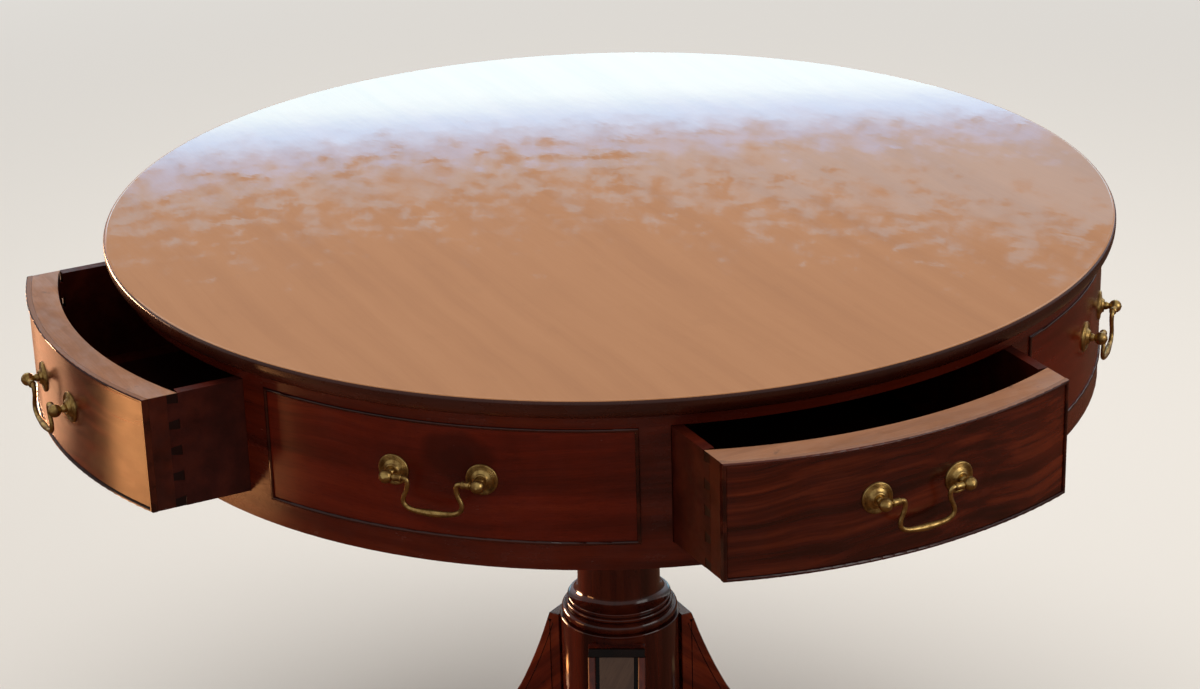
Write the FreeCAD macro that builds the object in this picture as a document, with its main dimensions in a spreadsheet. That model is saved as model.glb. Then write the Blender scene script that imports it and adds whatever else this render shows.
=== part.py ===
"""Revolving drum table: a round moulded top on a drum with four bow-fronted drawers and four
dummy fronts, turning on an iron spindle in a turned column with three splayed sabre legs.

Millimetres, +Z up, origin on the column's axis at floor level. The drawers face -Y, +X, +Y and
-X and stand partly open. Each front is modelled facing -Y and then turned about the axis.
"""
import FreeCAD, Part
import os
import re

import Sketcher
from FreeCAD import Placement, Rotation, Vector

SIZES = {
    # Top
    "table_height": 775,
    "top_diameter": 1102,
    "top_thickness": 22,
    "top_edge_round": 4,
    "top_under_round": 14,
    # Drum
    "frieze_diameter": 1075,
    "top_rail_height": 11,
    "opening_height": 122.5,
    "bottom_rail_height": 26.5,
    "rail_width": 47.5,
    "board_thickness": 14,
    "board_ledge": 10,
    "board_gap": 0.2,
    "stile_width": 30,
    "partition_thickness": 12,
    "dummy_thickness": 22,
    # Drawers
    "drawer_side_gap": 1,
    "drawer_run_gap": 0.3,
    "drawer_head_gap": 1,
    "drawer_back_room": 8,
    "front_thickness": 32,
    "side_thickness": 11,
    "back_thickness": 11,
    "back_drop": 6,
    "bottom_thickness": 7,
    "bottom_rise": 8,
    "groove_depth": 5,
    "dovetail_lap": 23,
    "dovetail_pin": 11,
    "dovetail_flare": 1.6,
    "drawer_1_open": 96,
    "drawer_2_open": 0,
    "drawer_3_open": 96,
    "drawer_4_open": 101,
    # Cock beads
    "bead_width": 3.6,
    "bead_proud": 2,
    "bead_depth": 4,
    "bead_round": 1.4,
    # Handles
    "handle_centres": 90,
    "handle_rise": 4.5,
    "rosette_radius": 16,
    "rosette_rim_height": 1.6,
    "rosette_rim_width": 2.4,
    "rosette_dish_height": 1.1,
    "rosette_ring_radius": 10.5,
    "rosette_ring_height": 3,
    "rosette_hub_radius": 7,
    "rosette_hub_height": 4.4,
    "rosette_sink": 1,
    "shank_radius": 2.6,
    "shank_end": 2,
    "nut_radius": 7,
    "nut_height": 4,
    "neck_radius": 3.3,
    "neck_swell": 4.7,
    "neck_swell_reach": 8,
    "neck_waist": 2.9,
    "ball_radius": 6.3,
    "ball_reach": 17,
    "pin_past": 2,
    "pin_end_gap": 0.5,
    "bail_fit": 0.05,
    "rosette_fit": 0.1,
    "bail_radius": 2.3,
    "bail_drop": 33,
    "bail_neck_half": 23,
    "bail_foot_half": 32,
    "bail_neck_bend": 6,
    "bail_foot_bend": 10,
    "grip_half": 17,
    "grip_radius": 3.3,
    # Pivot
    "spindle_radius": 14,
    "spindle_depth": 60,
    "spindle_flange_radius": 40,
    "spindle_flange": 5,
    "thread_radius": 11,
    "thread_length": 30,
    "pivot_fit": 0.05,
    "thrust_gap": 0.05,
    "thrust_radius": 98,
    "thrust_hole_gap": 2,
    "bearing_radius": 125,
    "bearing_thickness": 26.5,
    "bush_wall": 8,
    "bush_flange": 8,
    "bush_flange_height": 3,
    "nut_lift": 0.5,
    "nut_washer_radius": 27,
    "nut_washer_height": 4,
    "nut_across": 36,
    "nut_body_height": 17,
    # Column
    "shoulder_height": 257,
    "ring_rise": 7,
    "block_foot": 115,
    "block_radius": 68.5,
    "ring_radius": 70,
    "ring_fillet_radius": 69.2,
    "ring_fillet": 3,
    "torus_height": 13,
    "collar_radius": 60.5,
    "collar_height": 5.5,
    "groove_radius": 58,
    "groove_height": 2.5,
    "cove_fillet_radius": 60,
    "cove_fillet": 3,
    "cove_height": 14,
    "cove_curve": 15,
    "column_radius": 48,
    "column_top_radius": 45,
    "cap_height": 40,
    "cap_radius": 110,
    "cap_slab": 14,
    "cap_neck_radius": 53,
    "cap_neck": 6,
    "cap_curve": 62,
    # Legs
    "leg_width": 65,
    "leg_toe_width": 50,
    "leg_reach": 375,
    "toe_height": 27.5,
    "stop_radius": 80,
    "stop_height": 10,
    "stop_step": 2.5,
    "hip_curve": 700,
    "knee_radius": 123.5,
    "knee_height": 147.9,
    "sweep_curve": 206.3,
    "instep_radius": 268.4,
    "instep_height": 45.8,
    "sole_height": 3,
    "sole_length": 62,
    "underside_curve": 600,
    "leg_root": 40,
    "reed_offset": 20.5,
    "reed_radius": 3.2,
    "tongue_back": 48,
    "tongue_back_half": 17,
    "tongue_neck_half": 11,
    "tongue_top_gap": 12,
    "tongue_sink": 4,
    # Toe caps and leg plate
    "toe_cap_length": 50,
    "toe_cap_wall": 2,
    "toe_cap_side": 3,
    "toe_cap_nose": 4,
    "toe_cap_round": 6,
    "plate_radius": 64,
    "plate_thickness": 4,
    "screw_circle": 52,
    "screw_radius": 3,
    "screw_length": 30,
    "screw_head_radius": 6,
    "screw_head": 3,
    # Cuts run this far past what they cut
    "overrun": 10,
}

# Round-nosed turnings bulge on arcs a little flatter than a half circle
ROUND_SHARE = 0.56

FRONTS = 8
HALF_FRONT = 180 / FRONTS

DERIVED = {
    "top_radius": "top_diameter / 2",
    "top_under": "table_height - top_thickness",
    "opening_top": "top_under - top_rail_height",
    "opening_floor": "opening_top - opening_height",
    "frieze_foot": "opening_floor - bottom_rail_height",
    "board_under": "opening_floor - board_thickness",
    "frieze_radius": "frieze_diameter / 2",
    "rail_inner": "frieze_radius - rail_width",
    "front_angle": f"{HALF_FRONT} - stile_width * 90 / pi / frieze_radius",
    "far_angle": f"{HALF_FRONT} + stile_width * 90 / pi / frieze_radius",
    "opening_half": "frieze_radius * sin(front_angle)",
    "partition_far": "opening_half + partition_thickness",
    "drawer_half": "opening_half - drawer_side_gap",
    "drawer_inner_half": "drawer_half - side_thickness",
    "drawer_floor": "opening_floor + drawer_run_gap",
    "drawer_height": "opening_height - drawer_run_gap - drawer_head_gap",
    "drawer_back": "opening_half + drawer_back_room",
    "front_inner": "frieze_radius - front_thickness",
    "front_corner": "sqrt(frieze_radius ^ 2 - drawer_half ^ 2)",
    "front_shoulder": "sqrt(front_inner ^ 2 - drawer_half ^ 2)",
    "front_inner_corner": "sqrt(front_inner ^ 2 - drawer_inner_half ^ 2)",
    "tail_tip": "front_corner - dovetail_lap",
    "groove_arc": "front_inner + groove_depth",
    "groove_arc_corner": "sqrt(groove_arc ^ 2 - drawer_inner_half ^ 2)",
    "bottom_top": "drawer_floor + bottom_rise + bottom_thickness",
    "back_height": "drawer_height - bottom_rise - bottom_thickness - back_drop",
    "bead_outer": "frieze_radius + bead_proud",
    "bead_inner": "frieze_radius - bead_depth",
    "handle_height": "opening_floor + opening_height / 2 + handle_rise",
    "handle_share": "handle_centres / 2 / frieze_radius",
    "ball_circle": "frieze_radius + ball_reach",
    "ball_side": "ball_circle * handle_share",
    "ball_out": "ball_circle * sqrt(1 - handle_share ^ 2)",
    "neck_to_ball": "sqrt(ball_radius ^ 2 - neck_waist ^ 2)",
    "bail_flank": "sqrt((bail_foot_half - bail_neck_half) ^ 2 + bail_drop ^ 2)",
    "bail_slope": "(bail_foot_half - bail_neck_half) / bail_flank",
    "bail_fall": "bail_drop / bail_flank",
    "bail_half_turn": "sqrt((1 - bail_slope) / (1 + bail_slope))",
    "bail_neck_cut": "bail_neck_bend / bail_half_turn",
    "bail_foot_cut": "bail_foot_bend / bail_half_turn",
    "bail_foot": "handle_height - bail_drop",
    "grip_rise": "grip_radius - bail_radius",
    "grip_curve": "(grip_half ^ 2 + grip_rise ^ 2) / 2 / grip_rise",
    "bearing_foot": "board_under - bearing_thickness",
    "thrust_top": "bearing_foot - thrust_gap",
    "cap_top": "thrust_top - spindle_flange",
    "column_top": "cap_top - cap_height",
    "bush_bore": "spindle_radius + pivot_fit",
    "bush_radius": "bush_bore + bush_wall",
    "bush_top": "opening_floor + bush_flange_height",
    "nut_foot": "bush_top + nut_lift",
    "thread_bore": "thread_radius + pivot_fit",
    "ring_foot": "shoulder_height + ring_rise",
    "torus_foot": "ring_foot + ring_fillet",
    "collar_foot": "torus_foot + torus_height",
    "groove_foot": "collar_foot + collar_height",
    "cove_foot": "groove_foot + groove_height",
    "cove_start": "cove_foot + cove_fillet",
    "cove_top": "cove_start + cove_height",
    "torus_inner": "ring_radius - torus_height / 2",
    "moulding_radius": "stop_radius - stop_step",
    "moulding_top": "shoulder_height - stop_height",
    "sole_start": "leg_reach - sole_length",
    "cap_start": "leg_reach - toe_cap_length",
    "toe_rise": "(instep_height - toe_height) / (leg_reach - instep_radius)",
    "cap_start_height": "toe_height + toe_rise * toe_cap_length + toe_cap_wall",
    "cap_end": "leg_reach + toe_cap_nose",
    "plate_foot": "block_foot - plate_thickness",
}

DRAWERS = 4
QUARTER = 360 / DRAWERS
SQUARE = 90
DUMMY_TURN = QUARTER / 2
LEGS = 3
LEG_TURN = 360 / LEGS
TAILS = 4
NUT_SIDES = 6
NUT_TURN = 360 / NUT_SIDES
NUT_HALF = NUT_TURN / 2

# How near two measures count as the same, and how steep an edge counts as upright
TOUCH = 1e-4
UPRIGHT_SHARE = 0.99

doc = FreeCAD.newDocument("DrumTable")
sheet = doc.addObject("Spreadsheet::Sheet", "Sizes")
for row, (alias, size) in enumerate(SIZES.items(), start=1):
    sheet.set(f"A{row}", alias.replace("_", " "))
    sheet.set(f"B{row}", str(size))
    sheet.setAlias(f"B{row}", alias)
doc.recompute()


def formula(text):
    """Spells out the named sizes in a formula as cells of the sheet."""

    def spell(match):
        word = match.group(0)
        if word in DERIVED:
            return "(" + formula(DERIVED[word]) + ")"
        if word in SIZES:
            return "Sizes." + word
        return word

    return re.sub(r"[a-z][a-z_0-9]*", spell, text)


def measure(text):
    """The present value of a formula."""
    result = sheet.evalExpression(formula(text))
    return getattr(result, "Value", result)


def bind(thing, prop, text):
    """Ties a property to a formula in the named sizes."""
    thing.setExpression(prop, formula(text))


# Sketches

def sketch_in(body, role, name, lift="0", rise="0"):
    """A sketch on one of the body's origin planes, lifted along the plane's normal."""
    sketch = body.newObject("Sketcher::SketchObject", name)
    plane = next(item for item in body.Origin.OriginFeatures if item.Role == role)
    sketch.AttachmentSupport = [(plane, "")]
    sketch.MapMode = "FlatFace"
    if lift != "0":
        bind(sketch, "AttachmentOffset.Base.z", lift)
    if rise != "0":
        bind(sketch, "AttachmentOffset.Base.y", rise)
    return sketch


def arc_between(start, end, radius, turn):
    """The shorter arc from start to end, turning left for +1 and right for -1."""
    chord = end - start
    left = Vector(-chord.y, chord.x, 0).normalize()
    arm = (radius ** 2 - chord.Length ** 2 / 4) ** 0.5
    centre = (start + end) / 2 + left * (turn * arm)
    bulge = centre - left * (turn * radius)
    return Part.Arc(start, bulge, end) if turn > 0 else Part.Arc(end, bulge, start)


def tie_point(sketch, edge, position, across, along):
    """Fixes a point of the sketch at named distances from its origin."""
    for kind, axis, text in (("DistanceX", -2, across), ("DistanceY", -1, along)):
        if text == "0":
            sketch.addConstraint(Sketcher.Constraint("PointOnObject", edge, position, axis))
            continue
        place = Sketcher.Constraint(kind, -1, 1, edge, position, measure(text))
        index = sketch.addConstraint(place)
        bind(sketch, f"Constraints[{index}]", text)


def outline(sketch, corners, closed=True):
    """Draws lines and arcs through the corners and ties each one to its formulas.

    A corner is (across, along), or (across, along, radius, turn) where an arc leaves it.
    """
    points = [Vector(measure(corner[0]), measure(corner[1]), 0) for corner in corners]
    count = len(corners) if closed else len(corners) - 1
    ends = []
    for index in range(count):
        start = points[index]
        end = points[(index + 1) % len(points)]
        if len(corners[index]) == 2:
            edge = sketch.addGeometry(Part.LineSegment(start, end))
            ends.append((edge, 1, 2))
            continue
        _, _, radius, turn = corners[index]
        edge = sketch.addGeometry(arc_between(start, end, measure(radius), turn))
        ends.append((edge, 1, 2) if turn > 0 else (edge, 2, 1))
        ring = sketch.addConstraint(Sketcher.Constraint("Radius", edge, measure(radius)))
        bind(sketch, f"Constraints[{ring}]", radius)
    for index in range(count if closed else count - 1):
        edge, _, tail = ends[index]
        following, head, _ = ends[(index + 1) % count]
        sketch.addConstraint(Sketcher.Constraint("Coincident", edge, tail, following, head))
    for index in range(count):
        edge, head, _ = ends[index]
        tie_point(sketch, edge, head, *corners[index][:2])
    if not closed:
        edge, _, tail = ends[-1]
        tie_point(sketch, edge, tail, *corners[-1][:2])
    return sketch


# Features

def new_body(name):
    """An empty body that carries the piece's name."""
    return doc.addObject("PartDesign::Body", name)


def pad(body, sketch, length, symmetric=False):
    """Extrudes a sketch along its normal, or half to each side."""
    feature = body.newObject("PartDesign::Pad", body.Name + "Pad")
    feature.Profile = sketch
    bind(feature, "Length", length)
    if symmetric:
        feature.SideType = "Symmetric"
    return feature


def turned(name, corners):
    """A turned piece: a half section of (radius, height) corners, revolved about Z."""
    body = new_body(name)
    sketch = outline(sketch_in(body, "XZ_Plane", name + "Section"), corners)
    spin(body, sketch, "V_Axis")
    return body


def spin(body, sketch, axis):
    """Revolves a sketch all the way round one of its axes."""
    feature = body.newObject("PartDesign::Revolution", body.Name + "Turn")
    feature.Profile = sketch
    feature.ReferenceAxis = (sketch, [axis])
    return feature


def prism(name, corners, foot, height):
    """An upright piece: a plan outline extruded from a foot level."""
    body = new_body(name)
    sketch = outline(sketch_in(body, "XY_Plane", name + "Plan", foot), corners)
    pad(body, sketch, height)
    return body


def cylinder(name, radius, foot, height):
    """A round bar about the column's axis."""
    bar = doc.addObject("Part::Cylinder", name)
    bind(bar, "Radius", radius)
    bind(bar, "Height", height)
    bind(bar, "Placement.Base.z", foot)
    return bar


def cut(name, base, *tools):
    """What is left of a piece when others are taken out of it."""
    result = doc.addObject("Part::Cut", name)
    result.Base = base
    result.Tool = tools[0] if len(tools) == 1 else group(name + "_tools", tools)
    return result


def group(name, pieces):
    """Separate pieces kept together under one name."""
    result = doc.addObject("Part::Compound", name)
    result.Links = list(pieces)
    return result


def turned_copy(name, piece, angle, travel="0"):
    """A copy turned about the axis, then pulled outwards along the way it faces."""
    result = group(name, [piece])
    result.Placement = Placement(Vector(), Rotation(Vector(0, 0, 1), angle))
    if travel != "0":
        facing = Rotation(Vector(0, 0, 1), angle).multVec(Vector(0, -1, 0))
        for axis, share in (("x", round(facing.x)), ("y", round(facing.y))):
            if share:
                bind(result, f"Placement.Base.{axis}", f"{share} * ({travel})")
    return result


# Top and drum

def make_top():
    """The round top, with a small round above and a deep round below its edge."""
    return turned("table_top", [
        ("0", "top_under"),
        ("top_radius - top_under_round", "top_under", "top_under_round", 1),
        ("top_radius", "top_under + top_under_round"),
        ("top_radius", "table_height - top_edge_round", "top_edge_round", 1),
        ("top_radius - top_edge_round", "table_height"),
        ("0", "table_height"),
    ])


def make_rails():
    """The two rings of the frieze, above and below the drawers."""
    top_rail = turned("top_rail", [
        ("rail_inner", "opening_top"),
        ("frieze_radius", "opening_top"),
        ("frieze_radius", "top_under"),
        ("rail_inner", "top_under"),
    ])
    bottom_rail = turned("bottom_rail", [
        ("rail_inner", "frieze_foot"),
        ("frieze_radius", "frieze_foot"),
        ("frieze_radius", "opening_floor"),
        ("rail_inner + board_ledge", "opening_floor"),
        ("rail_inner + board_ledge", "board_under"),
        ("rail_inner", "board_under"),
    ])
    return [top_rail, bottom_rail]


def make_bottom_board():
    """The board that closes the drum and carries the drawers, in the bottom rail's rebate."""
    return turned("bottom_board", [
        ("bush_radius", "board_under"),
        ("rail_inner + board_ledge - board_gap", "board_under"),
        ("rail_inner + board_ledge - board_gap", "opening_floor"),
        ("bush_radius", "opening_floor"),
    ])


def make_stile(name, side):
    """The post beside a drawer: flat where the drawer slides, radial next to the dummy."""
    across = f"{side} * opening_half"
    return prism(name, [
        (across, "-sqrt(frieze_radius ^ 2 - opening_half ^ 2)", "frieze_radius", side),
        (f"{side} * frieze_radius * sin(far_angle)", "-frieze_radius * cos(far_angle)"),
        (f"{side} * rail_inner * sin(far_angle)", "-rail_inner * cos(far_angle)", "rail_inner", -side),
        (across, "-sqrt(rail_inner ^ 2 - opening_half ^ 2)"),
    ], "opening_floor", "opening_height")


def make_partition(name, side, inner_drum):
    """The upright board behind a stile that guides one side of a drawer."""
    blank = prism(name + "_blank", [
        (f"{side} * opening_half", "-frieze_radius"),
        (f"{side} * partition_far", "-frieze_radius"),
        (f"{side} * partition_far", "-partition_far"),
        (f"{side} * opening_half", "-partition_far"),
    ], "opening_floor", "opening_height + top_rail_height")
    board = doc.addObject("Part::Common", name)
    board.Base = blank
    board.Tool = inner_drum
    return board


def make_carcase():
    """Stiles and drawer guides, each modelled for one drawer and repeated round the drum."""
    inner_drum = cylinder("inner_drum", "rail_inner", "opening_floor", "opening_height + top_rail_height")
    stiles = []
    partitions = []
    for side in (1, -1):
        stile = make_stile(f"stile_{'right' if side > 0 else 'left'}", side)
        guide = make_partition(f"guide_{'right' if side > 0 else 'left'}", side, inner_drum)
        for turn in range(DRAWERS):
            stiles.append(turned_copy(f"{stile.Name}_{turn + 1}", stile, turn * QUARTER))
            partitions.append(turned_copy(f"{guide.Name}_{turn + 1}", guide, turn * QUARTER))
    return [group("stiles", stiles), group("drawer_guides", partitions)]


# Fronts

def make_bead(name, half_at):
    """The cock bead: a thin round-nosed frame let into the edges of a front."""
    body = new_body(name)
    outer = half_at("bead_outer")
    inner = half_at("bead_inner")
    band = outline(sketch_in(body, "XY_Plane", name + "Plan", "drawer_floor"), [
        (f"-({outer[0]})", f"-({outer[1]})", "bead_outer", 1),
        (outer[0], f"-({outer[1]})"),
        (inner[0], f"-({inner[1]})", "bead_inner", -1),
        (f"-({inner[0]})", f"-({inner[1]})"),
    ])
    pad(body, band, "drawer_height")
    across = f"{half_at('frieze_radius')[0]} - bead_width"
    window = outline(sketch_in(body, "XZ_Plane", name + "Window"), [
        (f"-({across})", "drawer_floor + bead_width"),
        (across, "drawer_floor + bead_width"),
        (across, "drawer_floor + drawer_height - bead_width"),
        (f"-({across})", "drawer_floor + drawer_height - bead_width"),
    ])
    pocket = body.newObject("PartDesign::Pocket", name + "Opening")
    pocket.Profile = window
    pocket.Reversed = True
    bind(pocket, "Length", "bead_outer + overrun")
    doc.recompute()
    round_nose(body, pocket, "bead_outer", "bead_round")
    return body


def round_nose(body, base, radius, size):
    """Rounds every edge of the outermost curved face of a bead."""
    reach = measure(radius)
    noses = [face for face in base.Shape.Faces
             if isinstance(face.Surface, Part.Cylinder) and abs(face.Surface.Radius - reach) < TOUCH]
    names = []
    for number, edge in enumerate(base.Shape.Edges, start=1):
        if any(edge.isSame(other) for face in noses for other in face.Edges):
            names.append(f"Edge{number}")
    rounding = body.newObject("PartDesign::Fillet", body.Name + "Nose")
    rounding.Base = (base, names)
    bind(rounding, "Radius", size)


def straight_half(radius):
    """Half width and depth where a drawer's straight side meets a circle."""
    return "drawer_half", f"sqrt({radius} ^ 2 - drawer_half ^ 2)"


def radial_half(radius):
    """Half width and depth where a dummy's radial end meets a circle."""
    return f"{radius} * sin(front_angle)", f"{radius} * cos(front_angle)"


def make_handle(kind, thickness):
    """Rosettes and bored ball posts with their nuts, for a front of this thickness."""

    def turn_on_front(name, corners):
        body = new_body(name)
        sketch = sketch_in(body, "XY_Plane", name + "Section", "handle_height")
        outline(sketch, [(across, f"-(frieze_radius + {reach})", *arc) for across, reach, *arc in corners])
        spin(body, sketch, "V_Axis")
        return body

    rosette_blank = turn_on_front(kind + "_rosette_blank", [
        ("neck_radius + rosette_fit", "-rosette_sink"),
        ("neck_radius + rosette_fit", "rosette_hub_height"),
        ("rosette_hub_radius", "rosette_hub_height"),
        ("rosette_hub_radius", "rosette_ring_height"),
        ("rosette_ring_radius", "rosette_ring_height"),
        ("rosette_ring_radius", "rosette_dish_height"),
        ("rosette_radius - rosette_rim_width", "rosette_dish_height"),
        ("rosette_radius - rosette_rim_width", "rosette_rim_height"),
        ("rosette_radius", "rosette_rim_height"),
        ("rosette_radius", "-rosette_sink"),
    ])
    drum = cylinder(kind + "_face", "frieze_radius", "opening_floor", "opening_height")
    rosette = cut(kind + "_rosette", rosette_blank, drum)
    post = turn_on_front(kind + "_post", [
        ("0", f"-{thickness} - nut_height - shank_end"),
        ("0", "ball_reach + ball_radius", "ball_radius", 1),
        ("neck_waist", "ball_reach - neck_to_ball"),
        ("neck_swell", "neck_swell_reach"),
        ("neck_radius", "rosette_hub_height"),
        ("neck_radius", "0"),
        ("shank_radius", "0"),
        ("shank_radius", f"-{thickness} - nut_height - shank_end"),
    ])
    nut_blank = turn_on_front(kind + "_nut_blank", [
        ("shank_radius", f"-{thickness} - nut_height"),
        ("shank_radius", f"-{thickness} + rosette_sink"),
        ("nut_radius", f"-{thickness} + rosette_sink"),
        ("nut_radius", f"-{thickness} - nut_height"),
    ])
    nut = doc.addObject("Part::Common", kind + "_nut")
    nut.Base = nut_blank
    nut.Tool = cylinder(kind + "_inside", f"frieze_radius - {thickness}", "opening_floor", "opening_height")
    pairs = {}
    for name, piece in (("rosettes", rosette), ("posts", post), ("nuts", nut)):
        copies = []
        for side, word in ((1, "right"), (-1, "left")):
            copy = group(f"{kind}_{name}_{word}", [piece])
            copy.Placement = Placement(Vector(), Rotation(Vector(0, 0, 1), side))
            bind(copy, "Placement.Rotation.Angle", f"{side} * asin(handle_share)")
            copies.append(copy)
        pairs[name] = copies
    bore = doc.addObject("Part::Cylinder", kind + "_bore")
    bore.Placement = Placement(Vector(), Rotation(Vector(0, 1, 0), SQUARE))
    bind(bore, "Radius", "bail_radius + bail_fit")
    bind(bore, "Height", "2 * (ball_side + pin_past + pin_end_gap)")
    bind(bore, "Placement.Base.x", "-(ball_side + pin_past + pin_end_gap)")
    bind(bore, "Placement.Base.y", "-ball_out")
    bind(bore, "Placement.Base.z", "handle_height")
    posts = cut(kind + "_bored_posts", group(kind + "_post_set", pairs["posts"] + pairs["nuts"]), bore)
    return group(kind + "_rosette_pair", pairs["rosettes"]), posts


def make_bail():
    """The swan-neck bail, hanging from the ball posts, with a swelling at its grip."""
    body = new_body("bail")
    bends = [
        ("ball_side + pin_past", "handle_height"),
        ("bail_neck_half + bail_neck_cut", "handle_height", "bail_neck_bend", 1),
        ("bail_neck_half + bail_slope * bail_neck_cut", "handle_height - bail_fall * bail_neck_cut"),
        ("bail_foot_half - bail_slope * bail_foot_cut", "bail_foot + bail_fall * bail_foot_cut",
         "bail_foot_bend", -1),
        ("bail_foot_half - bail_foot_cut", "bail_foot"),
    ]
    mirrored = [
        ("-(bail_foot_half - bail_foot_cut)", "bail_foot", "bail_foot_bend", -1),
        ("-(bail_foot_half - bail_slope * bail_foot_cut)", "bail_foot + bail_fall * bail_foot_cut"),
        ("-(bail_neck_half + bail_slope * bail_neck_cut)", "handle_height - bail_fall * bail_neck_cut",
         "bail_neck_bend", 1),
        ("-(bail_neck_half + bail_neck_cut)", "handle_height"),
        ("-(ball_side + pin_past)", "handle_height"),
    ]
    path = outline(sketch_in(body, "XZ_Plane", "bailPath", "ball_out"), bends + mirrored, closed=False)
    section = sketch_in(body, "YZ_Plane", "bailSection", "ball_side + pin_past")
    ring = section.addGeometry(Part.Circle(
        Vector(-measure("ball_out"), measure("handle_height"), 0), Vector(0, 0, 1), measure("bail_radius")))
    size = section.addConstraint(Sketcher.Constraint("Radius", ring, measure("bail_radius")))
    bind(section, f"Constraints[{size}]", "bail_radius")
    tie_point(section, ring, 3, "-ball_out", "handle_height")
    rod = body.newObject("PartDesign::AdditivePipe", "bailRod")
    rod.Profile = section
    rod.Spine = (path, [f"Edge{number + 1}" for number in range(len(bends + mirrored) - 1)])
    grip = outline(sketch_in(body, "XZ_Plane", "bailGrip", "ball_out", "bail_foot"), [
        ("-grip_half", "0"),
        ("grip_half", "0"),
        ("grip_half", "bail_radius", "grip_curve", 1),
        ("-grip_half", "bail_radius"),
    ])
    spin(body, grip, "H_Axis")
    return body


def make_dummy_front(bead, posts):
    """A fixed curved panel between two stiles, dressed as a drawer front."""
    outer = radial_half("frieze_radius")
    inner = radial_half("(frieze_radius - dummy_thickness)")
    blank = prism("dummy_blank", [
        (f"-({outer[0]})", f"-({outer[1]})", "frieze_radius", 1),
        (outer[0], f"-({outer[1]})"),
        (inner[0], f"-({inner[1]})", "frieze_radius - dummy_thickness", -1),
        (f"-({inner[0]})", f"-({inner[1]})"),
    ], "opening_floor", "opening_height")
    return cut("dummy_front", blank, bead, posts)


def make_drawer_side(name, inner_face, bottom):
    """A drawer side with its row of tails for the half-blind dovetails and a bottom groove."""
    body = new_body(name + "_blank")
    tail_foot = "drawer_floor + dovetail_pin"
    tail_width = f"((drawer_height - {TAILS + 1} * dovetail_pin) / {TAILS})"
    corners = [("-drawer_back", "drawer_floor"), ("-front_shoulder", "drawer_floor")]
    for tail in range(TAILS):
        low = f"{tail_foot} + {tail} * ({tail_width} + dovetail_pin)"
        high = f"{low} + {tail_width}"
        corners += [
            ("-front_shoulder", low),
            ("-tail_tip", f"{low} - dovetail_flare"),
            ("-tail_tip", f"{high} + dovetail_flare"),
            ("-front_shoulder", high),
        ]
    corners += [
        ("-front_shoulder", "drawer_floor + drawer_height"),
        ("-drawer_back", "drawer_floor + drawer_height"),
    ]
    sketch = outline(sketch_in(body, "YZ_Plane", name + "Face", inner_face), corners)
    pad(body, sketch, "side_thickness")
    return cut(name, body, bottom)


def make_drawer_pieces(bead, posts):
    """The wooden pieces of one drawer, closed and facing -Y."""
    bottom = prism("drawer_bottom_board", [
        ("-drawer_inner_half", "-groove_arc_corner", "groove_arc", 1),
        ("drawer_inner_half", "-groove_arc_corner"),
        ("drawer_inner_half", "-front_shoulder"),
        ("drawer_inner_half + groove_depth", "-front_shoulder"),
        ("drawer_inner_half + groove_depth", "-drawer_back"),
        ("-(drawer_inner_half + groove_depth)", "-drawer_back"),
        ("-(drawer_inner_half + groove_depth)", "-front_shoulder"),
        ("-drawer_inner_half", "-front_shoulder"),
    ], "drawer_floor + bottom_rise", "bottom_thickness")
    sides = group("drawer_side_pair", [
        make_drawer_side("drawer_side_right", "drawer_inner_half", bottom),
        make_drawer_side("drawer_side_left", "-drawer_half", bottom),
    ])
    back = prism("drawer_back_board", [
        ("-drawer_inner_half", "-(drawer_back + back_thickness)"),
        ("drawer_inner_half", "-(drawer_back + back_thickness)"),
        ("drawer_inner_half", "-drawer_back"),
        ("-drawer_inner_half", "-drawer_back"),
    ], "bottom_top", "back_height")
    blank = prism("drawer_front_blank", [
        ("-drawer_half", "-front_corner", "frieze_radius", 1),
        ("drawer_half", "-front_corner"),
        ("drawer_half", "-front_shoulder"),
        ("drawer_inner_half", "-front_shoulder"),
        ("drawer_inner_half", "-front_inner_corner", "front_inner", -1),
        ("-drawer_inner_half", "-front_inner_corner"),
        ("-drawer_inner_half", "-front_shoulder"),
        ("-drawer_half", "-front_shoulder"),
    ], "drawer_floor", "drawer_height")
    front = cut("drawer_front_board", blank, sides, bottom, bead, posts)
    return {"front": front, "sides": sides, "back": back, "bottom": bottom}


def make_fronts():
    """Four drawers, four dummy fronts between them, and a handle on each."""
    bail = make_bail()
    drawer_bead = make_bead("drawer_bead", straight_half)
    rosettes, posts = make_handle("drawer", "front_thickness")
    pieces = make_drawer_pieces(drawer_bead, posts)
    pieces.update(bead=drawer_bead, rosettes=rosettes, posts=posts, bail=bail)
    nodes = []
    for turn in range(DRAWERS):
        for word, piece in pieces.items():
            name = f"drawer_{turn + 1}_{word}"
            nodes.append(turned_copy(name, piece, turn * QUARTER, f"drawer_{turn + 1}_open"))
    dummy_bead = make_bead("dummy_bead", radial_half)
    dummy_rosettes, dummy_posts = make_handle("dummy", "dummy_thickness")
    panel = make_dummy_front(dummy_bead, dummy_posts)
    fixed = {"fronts": panel, "beads": dummy_bead, "rosettes": dummy_rosettes, "posts": dummy_posts}
    angles = [turn * QUARTER + DUMMY_TURN for turn in range(DRAWERS)]
    for word, piece in fixed.items():
        copies = [turned_copy(f"{piece.Name}_{number}", piece, angle)
                  for number, angle in enumerate(angles, start=1)]
        nodes.append(group(f"dummy_{word}", copies))
    for number, angle in enumerate(angles, start=1):
        nodes.append(turned_copy(f"dummy_bail_{number}", bail, angle))
    return nodes


# Pivot

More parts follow.
